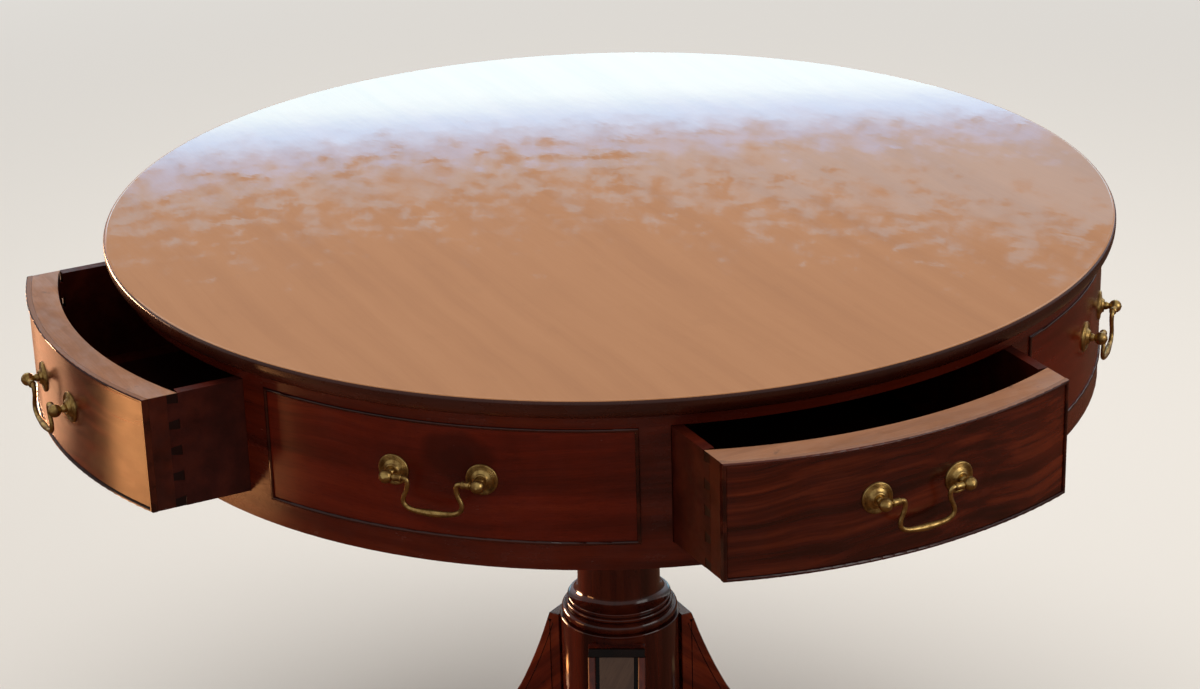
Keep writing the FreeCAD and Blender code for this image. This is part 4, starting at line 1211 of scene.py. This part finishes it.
@dataclass
class TableTop:
    """The round top with its moulded edge."""

    radius: float
    foot: float
    head: float
    upper_round: float = 4 * MM
    under_round: float = 14 * MM
    facing_up: float = 0.85
    steps: int = 256
    round_steps: int = 8

    def build(self, shop: Workshop) -> None:
        """Turns the top and dresses it.

        Args:
            shop: The workshop.
        """
        outline = [(0.0, self.foot), (self.radius - self.under_round, self.foot)]
        outline += arc((self.radius - self.under_round, self.foot + self.under_round), self.under_round,
                       -90, 0, self.round_steps)[1:]
        outline += arc((self.radius - self.upper_round, self.head - self.upper_round), self.upper_round,
                       0, 90, self.round_steps)
        outline += [(0.0, self.head)]
        top = Bench.turn("top", outline, self.steps)
        # Faces turned upwards take the pale tan finish and the rest the dark one: the tan is partly the
        # wood's own tone, partly painted light and reflection on the upper faces.
        for face in top.data.polygons:
            face.material_index = 0 if face.normal.z > self.facing_up else 1
        shop.add(top, "drum", Slot.TOP, ["table_top"], [POLISHED_TOP, TOP_EDGE])


def front_place(turn: float, travel: float = 0.0) -> Matrix:
    """Where a piece modelled on the front that faces -Y goes, for a front at an angle and its travel."""
    return Matrix.Rotation(turn, 4, "Z") @ Matrix.Translation((0, -travel, 0))


@dataclass
class DrawerFront:
    """One bow front of a drawer, with its polished face and its bare upper edge."""

    number: int
    drum_radius: float
    half_width: float
    foot: float
    head: float
    travel: float
    thickness: float = 32 * MM
    lap: float = 23 * MM
    bead_width: float = 3.6 * MM
    bead_depth: float = 4 * MM
    end_gap: float = 0.15 * MM
    eased: float = 0.6 * MM
    overrun: float = 1.15
    facing_up: float = 0.9
    steps: int = 72

    def build(self, shop: Workshop) -> None:
        """Bends the board and its face, which stops short of the bead, and dresses the front.

        Args:
            shop: The workshop.
        """
        name = f"front_{self.number}"
        end = self.half_width - self.end_gap
        rebate = self.drum_radius - self.bead_depth
        board = self.bow(name, self.drum_radius - self.thickness, rebate, self.foot, self.head, end)
        margin = self.bead_width + self.end_gap
        panel = self.bow("panel", rebate - MM, self.drum_radius, self.foot + margin, self.head - margin,
                         end - margin)
        veneer, edge, ends = 0, 1, 2
        for face in board.data.polygons:
            face.material_index = edge if face.normal.z > self.facing_up else ends
        for face in panel.data.polygons:
            face.material_index = veneer
        pins_from = self.lap - math.sqrt(self.drum_radius ** 2 - end ** 2) - self.travel
        finishes = [drawer_veneer(self.number), bare_edge(self.number), front_end(self.number, pins_from)]
        for part in (board, panel):
            shop.coat(part, finishes)
        front = Bench.join([board, panel], name)
        front.data.transform(front_place(QUARTER * (self.number - 1), self.travel))
        shop.add(front, f"drawer_{self.number}", Slot.FRONT, [f"drawer_{self.number}_front"], finishes)

    def bow(self, name: str, inner: float, outer: float, foot: float, head: float,
            end: float) -> bpy.types.Object:
        """Bends one layer of the front by spinning its section, and cuts its ends square.

        Args:
            name: The layer's name.
            inner: The radius of its hollow side.
            outer: The radius of its round side.
            foot: Its lower edge.
            head: Its upper edge.
            end: How far it reaches to each side.

        Returns:
            The layer on the front that faces -Y, in object mode.
        """
        half_turn = self.overrun * math.asin(self.half_width / inner)
        section = [(inner, foot), (outer, foot), (outer, head), (inner, head)]
        start = [Vector((radius * math.sin(-half_turn), -radius * math.cos(half_turn), height))
                 for radius, height in section]
        layer = Bench.draw(name, start, closed=True)
        bpy.ops.mesh.spin(steps=self.steps, angle=-2 * half_turn, center=(0, 0, 0), axis=(0, 0, 1))
        Bench.trim([((side * end, 0, 0), (side, 0, 0)) for side in (1, -1)])
        Bench.ease(self.eased)
        return Bench.close(layer)


# Half of the bail from its end to its grip: shares of its span and its drop, and how thick the rod is.
BAIL_PATH = ((1.0, 0.0, 1.05), (0.8, 0.0, 1.05), (0.66, 0.015, 1.05), (0.545, 0.0, 1.12),
             (0.525, -0.2, 1.08), (0.57, -0.42, 1.0), (0.655, -0.62, 1.0), (0.64, -0.84, 1.05),
             (0.5, -0.97, 1.1), (0.26, -1.01, 1.3), (0.07, -1.02, 1.62))


@dataclass
class HandlePattern:
    """One brass handle, modelled once: rosette and ball post along +Z, bail hanging in the XZ plane."""

    rosette: float = 16 * MM
    ball: float = 6.9 * MM
    reach: float = 17 * MM
    button_edge: float = 78.0
    neck: float = 3.2 * MM
    half_span: float = 46.4 * MM
    drop: float = 33 * MM
    rod: float = 2.3 * MM
    sides: int = 48

    def make_rosette(self) -> bpy.types.Object:
        """Turns the rosette: a rim, three fine rings, a dish and a stepped hub.

        Returns:
            The rosette, in object mode.
        """
        unit = self.rosette
        outline = [(unit, -0.04 * unit), (unit, 0.05 * unit)]
        outline += bulge((unit, 0.05 * unit), (0.9 * unit, 0.11 * unit), 0.075 * unit, 5)[1:]
        for share in (0.86, 0.78, 0.7):
            level = 0.1 * unit + 0.16 * unit * (0.9 - share)
            outline += [((share + 0.036) * unit, level - 0.03 * unit)]
            outline += bulge(((share + 0.028) * unit, level), ((share - 0.028) * unit, level + 0.01 * unit),
                             0.03 * unit, 5)
        outline += bulge((0.66 * unit, 0.13 * unit), (0.46 * unit, 0.26 * unit), 0.5 * unit, 5, hollow=True)
        outline += [(0.45 * unit, 0.3 * unit)]
        outline += bulge((0.44 * unit, 0.31 * unit), (0.34 * unit, 0.36 * unit), 0.1 * unit, 4)
        outline += [(0.3 * unit, 0.33 * unit), (0.2 * unit, 0.34 * unit)]
        return Bench.turn("rosette_pattern", outline, self.sides)

    def make_post(self) -> bpy.types.Object:
        """Turns the post: a swelling neck, a collar and a ball with a small button.

        Returns:
            The post, in object mode.
        """
        start = 0.2 * self.rosette
        outline = [(self.neck, start)]
        outline += bulge((self.neck, start), (0.9 * self.neck, 0.62 * self.reach), 0.36 * self.reach, 8)[1:]
        outline += bulge((0.95 * self.neck, 0.64 * self.reach), (0.95 * self.neck, 0.72 * self.reach),
                         0.06 * self.reach, 4)
        low = math.degrees(math.acos(0.8 * self.neck / self.ball))
        outline += arc((0.0, self.reach), self.ball, -low, self.button_edge, 18)
        tip = self.reach + self.ball * math.sin(math.radians(self.button_edge))
        outline += [(0.17 * self.ball, tip + 0.03 * self.ball), (0.0, tip + 0.06 * self.ball)]
        return Bench.turn("post_pattern", outline, self.sides)

    def make_bail(self) -> bpy.types.Object:
        """Bends the swan-neck bail along a smooth curve, thicker at the grip, with a barrel at each end.

        Returns:
            The bail, in object mode.
        """
        right = [(across * self.half_span, level * self.drop, thick) for across, level, thick in BAIL_PATH]
        whole = right + [(-across, level, thick) for across, level, thick in reversed(right)]
        line = bpy.data.curves.new("bail_pattern", "CURVE")
        line.dimensions = "3D"
        line.resolution_u = 6
        line.bevel_depth = self.rod
        line.bevel_resolution = 4
        line.use_fill_caps = True
        spline = line.splines.new("NURBS")
        spline.points.add(len(whole) - 1)
        for point, (across, level, thick) in zip(spline.points, whole):
            point.co = (across, 0, level, 1)
            point.radius = thick
        spline.order_u = 4
        spline.use_endpoint_u = True
        barrels = [self.make_barrel(side) for side in (1, -1)]
        bail = Bench.join([Bench.solid(line), *barrels], line.name)
        Bench.shade(bail)
        return bail

    def make_barrel(self, side: int) -> bpy.types.Object:
        """Turns the waisted barrel on one end of the bail.

        Args:
            side: Which end it sits on, 1 or -1.

        Returns:
            The barrel, in object mode.
        """
        thick, long = 1.75 * self.rod, 0.19 * self.half_span
        outline = [(0.0, -long / 2), (0.8 * thick, -long / 2), (thick, -long / 2 + 0.2 * thick),
                   (0.86 * thick, -0.1 * long), (0.86 * thick, 0.1 * long),
                   (thick, long / 2 - 0.2 * thick), (0.8 * thick, long / 2), (0.0, long / 2)]
        barrel = Bench.turn("barrel_pattern", outline, self.sides // 2)
        place = Matrix.Translation((side * 0.745 * self.half_span, 0, 0))
        barrel.data.transform(place @ Matrix.Rotation(QUARTER, 4, "Y"))
        return barrel


@dataclass
class Handles:
    """All sixteen posts and rosettes and the eight bails."""

    drum_radius: float
    height: float
    travels: dict[int, float]
    centres: float = 90 * MM
    pattern: HandlePattern = field(default_factory=HandlePattern)

    def build(self, shop: Workshop) -> None:
        """Models one handle and copies it to every front.

        Args:
            shop: The workshop.
        """
        rosette = self.pattern.make_rosette()
        post = self.pattern.make_post()
        bail = self.pattern.make_bail()
        lean = math.asin(self.centres / 2 / self.drum_radius)
        outward = Matrix.Rotation(QUARTER, 4, "X")
        on_face = Matrix.Translation((0, -self.drum_radius, self.height)) @ outward
        ball_out = (self.drum_radius + self.pattern.reach) * math.cos(lean)
        hung = Matrix.Translation((0, -ball_out, self.height))
        for number in DRAWER_SIDES:
            for kind, turn, travel in (("drawer", QUARTER * (number - 1), self.travels[number]),
                                       ("dummy", QUARTER * (number - 0.5), 0.0)):
                front = front_place(turn, travel)
                drawer = kind == "drawer"
                body = f"drawer_{number}" if drawer else "drum"
                held = f"drawer_{number}" if drawer else "dummy"
                for side, word in ((-1, "left"), (1, "right")):
                    place = front @ Matrix.Rotation(side * lean, 4, "Z") @ on_face
                    for pattern, name in ((rosette, "rosette"), (post, "post")):
                        piece = Bench.copy(pattern, f"{kind}_{number}_{name}_{word}", place)
                        shop.add(piece, body, Slot.BRASS, [f"{held}_{name}s"], [BRASS])
                hanger = f"drawer_{number}_bail" if drawer else f"dummy_bail_{number}"
                piece = Bench.copy(bail, f"{kind}_{number}_swan_bail", front @ hung)
                shop.add(piece, hanger, Slot.BRASS, [hanger], [BRASS])
        for pattern in (rosette, post, bail):
            Bench.discard(pattern)


@dataclass(frozen=True)
class Moulding:
    """One ring of the column's foot: a round of its own curve, or a plain fillet without one."""

    radius: float
    height: float
    curve: float = 0.0
    steps: int = 1

    def outline(self, level: float) -> list[Point]:
        """The ring's outline, from its foot up.

        Args:
            level: The height of its foot.

        Returns:
            Points of radius and height.
        """
        foot, head = (self.radius, level), (self.radius, level + self.height)
        if not self.curve:
            return [foot, head]
        return bulge(foot, head, self.curve, self.steps)


MOULDINGS = (Moulding(69.0 * MM, 3 * MM, 1.9 * MM, 4), Moulding(63.5 * MM, 13 * MM, 7.3 * MM, 14),
             Moulding(60.5 * MM, 5.5 * MM, 3.1 * MM, 8), Moulding(58.0 * MM, 2.5 * MM),
             Moulding(59.6 * MM, 3 * MM, 1.9 * MM, 4))


@dataclass
class Column:
    """The turned column with its mouldings and the block that takes the legs."""

    foot: float
    head: float
    shoulder: float
    block: float = 68.5 * MM
    collar: float = 7 * MM
    cove: float = 59 * MM
    cove_height: float = 14 * MM
    cove_curve: float = 15 * MM
    shaft: float = 48 * MM
    neck: float = 45 * MM
    eased: float = 0.8 * MM
    steps: int = 128

    def build(self, shop: Workshop) -> None:
        """Turns the column from its foot to its neck and dresses it.

        Args:
            shop: The workshop.
        """
        level = self.shoulder + self.collar
        ease = self.eased
        outline = [(0.0, self.foot), (self.block - ease, self.foot), (self.block, self.foot + ease),
                   (self.block, level - ease), (self.block + 0.4 * ease, level)]
        for ring in MOULDINGS:
            outline += ring.outline(level)
            level += ring.height
        outline += bulge((self.cove, level), (self.shaft, level + self.cove_height), self.cove_curve, 10,
                         hollow=True)
        outline += [(self.neck, self.head), (0.0, self.head)]
        piece = Bench.turn("turned_column", outline, self.steps)
        shop.add(piece, "base", Slot.DARK, ["column"], [TURNED])


@dataclass
class Leg:
    """One hipped sabre leg: a tapered core, a reeded facing strip and dark stringing."""

    number: int
    shoulder: float
    block_foot: float
    reach: float
    width: float = 65 * MM
    toe_width: float = 50 * MM
    block: float = 68.5 * MM
    root: float = 4 * MM
    stop: float = 81.5 * MM
    stop_height: float = 10 * MM
    stop_step: float = 0.4 * MM
    stop_lean: float = 3.5 * MM
    toe_height: float = 27.5 * MM
    sole: float = 3 * MM
    sole_length: float = 62 * MM
    facing: float = 8.5 * MM
    facing_seat: float = 0.65
    facing_proud: float = 0.3 * MM
    bead: float = 8 * MM
    bead_sink: float = 0.6 * MM
    bead_curve: float = 5.4 * MM
    groove: float = 5 * MM
    groove_depth: float = 4.2 * MM
    groove_slope: float = 0.5 * MM
    panel_sink: float = 0.8 * MM
    panel_hollow: float = 1.4 * MM
    line: float = 0.5 * MM
    line_proud: float = 0.1 * MM
    line_margin: float = 9 * MM
    eased: float = 1.2 * MM
    sharp_angle: float = 50.0
    hip_curve: float = 700 * MM
    sweep_curve: float = 206.3 * MM
    knee: Point = (123.5 * MM, 147.9 * MM)
    instep: Point = (268.4 * MM, 45.8 * MM)
    under_curve: float = 600 * MM

    def face_path(self, sink: float = 0.0) -> list[Point]:
        """The line of the leg's outer face, from the stop down to the toe.

        Args:
            sink: How far inside the face the line runs.

        Returns:
            Points of radius and height.
        """
        top = (self.stop - self.stop_step, self.shoulder - self.stop_height)
        hip = bulge(self.knee, top, self.hip_curve, 6, hollow=True)
        sweep = bulge(self.instep, self.knee, self.sweep_curve, 14, hollow=True)
        line = list(reversed(hip)) + list(reversed(sweep))[1:] + [(self.reach, self.toe_height)]
        if not sink:
            return line
        moved = []
        for index, here in enumerate(line):
            before = Vector(line[max(index - 1, 0)])
            after = Vector(line[min(index + 1, len(line) - 1)])
            along = (after - before).normalized()
            moved.append((here[0] + sink * along.y, here[1] - sink * along.x))
        return moved

    def build(self, shop: Workshop) -> None:
        """Models the leg along +X, then turns it to its place.

        Args:
            shop: The workshop.
        """
        place = Matrix.Rotation(LEG_PITCH * (self.number - 1), 4, "Z")
        core = self.make_core()
        # Painted shade: the stop below the shoulder takes the dark second finish, standing in for the
        # shadowed recess there.
        stop_from = self.stop - self.stop_lean - MM
        for face in core.data.polygons:
            if face.center.x > stop_from and face.center.z > self.shoulder - self.stop_height:
                face.material_index = LEG_PAINTED_SHADE
        strip = self.make_strip()
        self.paint_groove_shade(strip)
        finishes = [leg_wood(self.number), STRINGING_AND_SHADE, REED_PAINTED_SHEEN]
        for part in (core, strip):
            shop.coat(part, finishes)
        leg = Bench.join([core, strip], f"sabre_leg_{self.number}")
        leg.data.transform(place)
        shop.add(leg, "base", Slot.DARK, [f"leg_{self.number}"], finishes)
        lines = self.make_stringing()
        lines.data.transform(place)
        shop.add(lines, "base", Slot.DARK, [], [STRINGING_AND_SHADE])

    def paint_groove_shade(self, strip: bpy.types.Object) -> None:
        """Paints shade into the grooves of the facing strip with the leg's second finish, the dark
        stringing, and paints sheen onto its panel with the third, a pale grey-brown.

        Args:
            strip: The facing strip.
        """
        outer = self.width / 2 - self.bead
        for face in strip.data.polygons:
            across = abs(face.center.y) / self.narrowing(face.center.x)
            if outer - self.groove < across < outer:
                face.material_index = LEG_PAINTED_SHADE
            elif across < outer:
                face.material_index = LEG_PAINTED_SHEEN

    def narrowing(self, radius: float) -> float:
        """The leg's width at a radius, as a share of its full width."""
        share = max(radius - self.stop, 0.0) / (self.reach - self.stop)
        return 1 - (1 - self.toe_width / self.width) * share

    def make_core(self) -> bpy.types.Object:
        """Draws the side view, thickens it, tapers it towards the toe and eases its edges.

        Returns:
            The core along +X, in object mode.
        """
        root, half = self.block - self.root, self.width / 2
        stop_foot = self.shoulder - self.stop_height
        under = bulge((self.reach - self.sole_length, self.sole), (self.block, self.block_foot),
                      self.under_curve, 10, hollow=True)
        face = self.face_path(self.facing_seat * self.facing)
        outline = [(root, self.shoulder), (root, self.block_foot)] + list(reversed(under))
        outline += [(self.reach, self.sole)] + list(reversed(face))[:-1]
        outline += [(face[0][0], stop_foot), (self.stop, stop_foot),
                    (self.stop - self.stop_lean, self.shoulder)]
        points = [Vector((across, -half, level)) for across, level in outline]
        piece = Bench.draw("leg_core", points, closed=True)
        bpy.ops.mesh.extrude_region_move(TRANSFORM_OT_translate={"value": (0, self.width, 0)})
        slope = (self.width - self.toe_width) / 2 / (self.reach - self.stop)
        Bench.trim([((self.stop, side * half, 0), (slope, side, 0)) for side in (1, -1)])
        Bench.ease(self.eased, self.sharp_angle)
        return Bench.close(piece)

    def sweep(self, name: str, section: Sequence[Point], line: Sequence[Point]) -> bpy.types.Object:
        """Sweeps a section along a line in the leg's side view, narrowing towards the toe.

        Args:
            name: The piece's name.
            section: Points of depth below the line and distance across the leg.
            line: The line's points of radius and height.

        Returns:
            The swept piece, in object mode.
        """
        ring = Bench.polyline(name + "_section", section, closed=True)
        shape = bpy.data.objects.new(ring.name, ring)
        bpy.context.scene.collection.objects.link(shape)
        run = Bench.polyline(name, line)
        run.bevel_mode = "OBJECT"
        run.bevel_object = shape
        run.use_fill_caps = True
        for point in run.splines[0].points:
            point.radius = self.narrowing(point.co.x)
        swept = Bench.solid(run)
        swept.data.transform(Matrix.Rotation(QUARTER, 4, "X"))
        Bench.discard(shape)
        bpy.ops.object.mode_set(mode="EDIT")
        return Bench.close(swept)

    def make_strip(self) -> bpy.types.Object:
        """Sweeps the facing strip: a bead at each edge, two grooves and a gently hollowed panel.

        Returns:
            The strip along +X, in object mode.
        """
        half = self.width / 2 + self.facing_proud
        inner = half - self.bead
        middle = inner - self.groove
        sunk, slope = self.groove_depth, self.groove_slope
        right = bulge((self.bead_sink, half), (self.bead_sink, inner), self.bead_curve, 6)
        curve = (middle ** 2 + self.panel_hollow ** 2) / 2 / self.panel_hollow
        panel = bulge((self.panel_sink, middle), (self.panel_sink, -middle), curve, 12, hollow=True)
        front = right + [(sunk, inner - slope), (sunk, middle + slope)] + panel
        front += [(sunk, -middle - slope), (sunk, slope - inner)]
        front += [(depth, -side) for depth, side in reversed(right)]
        section = front + [(self.facing, -half), (self.facing, half)]
        return self.sweep("leg_strip", section, self.face_path())

    def make_stringing(self) -> bpy.types.Object:
        """Lays the dark lines on both sides: one along the facing strip, one beside the block.

        Returns:
            The lines along +X, in object mode.
        """
        ring = arc((0.0, 0.0), self.line, 0, 360, 8)[:-1]
        upright = self.block + self.line_margin
        beside = [(upright, self.shoulder - self.line_margin), (upright, self.block_foot)]
        parts = []
        for side in (1, -1):
            edge = side * (self.width / 2 + self.line_proud)
            for name, sink, line in (("leg_line", self.facing, self.face_path()[:-1]),
                                     ("leg_upright", 0.0, beside)):
                section = [(depth + sink, across + edge) for depth, across in ring]
                parts.append(self.sweep(name, section, line))
        return Bench.join(parts, f"leg_stringing_{self.number}")


# The finishes of the frame nodes that aren't modelled again.
NODE_FINISHES = ((FRIEZE, ("top_rail", "bottom_rail", "stiles")), (DUMMY, ("dummy_fronts",)),
                 (BEAD, ("dummy_beads",)), (CARCASE, ("bottom_board", "drawer_guides", "bearing_block")),
                 (TURNED, ("column_cap",)), (BRASS, ("pivot_bush", "toe_caps")),
                 (IRON, ("leg_plate", "plate_screws", "pivot_spindle", "thrust_plate", "spindle_nut")))


def dress_frame(shop: Workshop) -> None:
    """Gives the frame's own nodes their finishes.

    Args:
        shop: The workshop.
    """
    for finish, nodes in NODE_FINISHES:
        for node in nodes:
            shop.dress_node(node, finish)
    worn_skin = 0.1 * MM
    worn_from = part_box("drawer_1_bead")[1].z - worn_skin
    drawer_bead = replace(BEAD, name="drawer_bead", worn_above=worn_from)
    for number in DRAWER_SIDES:
        shop.dress_node(f"drawer_{number}_bead", drawer_bead)
        low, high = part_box(f"drawer_{number}_bottom")
        # Half the drawer bottom's width: inside it the lining gets painted shade.
        half = min(high.x - low.x, high.y - low.y) / 2
        for piece in ("sides", "back", "bottom"):
            shop.dress_node(f"drawer_{number}_{piece}", lining(number, half))


def main() -> None:
    """Builds the table's looks around the frame and reports each piece."""
    logging.basicConfig(level=logging.INFO, format="%(name)s: %(message)s")
    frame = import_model()
    Bench.clear()
    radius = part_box("bottom_rail")[1].x
    front_low, front_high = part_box("dummy_fronts")
    shop = Workshop(frame["nodes"], Effects(radius, (front_low.z + front_high.z) / 2))
    dress_frame(shop)
    top_low, top_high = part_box("table_top")
    TableTop(top_high.x, top_low.z, top_high.z).build(shop)
    travels = {}
    for number, (axis, outer) in DRAWER_SIDES.items():
        low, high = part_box(f"drawer_{number}_front")
        travels[number] = abs((low, high)[outer][axis]) - radius
        half_width = high[1 - axis]
        DrawerFront(number, radius, half_width, low.z, high.z, travels[number]).build(shop)
    pattern = HandlePattern()
    Handles(radius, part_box("dummy_bail_1")[1].z - pattern.rod, travels, pattern=pattern).build(shop)
    column_low, column_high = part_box("column")
    leg_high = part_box("leg_1")[1]
    Column(column_low.z, column_high.z, leg_high.z).build(shop)
    for number in LEGS:
        Leg(number, leg_high.z, column_low.z, leg_high.x).build(shop)
    brasses = [piece for piece in shop.pieces if piece.data.materials[0].name == BRASS.name]
    Studio(top_high.z, bpy.data.objects["top"], brasses).build()
    bpy.context.scene.view_settings.view_transform = "Standard"


if __name__ == "__main__":
    main()
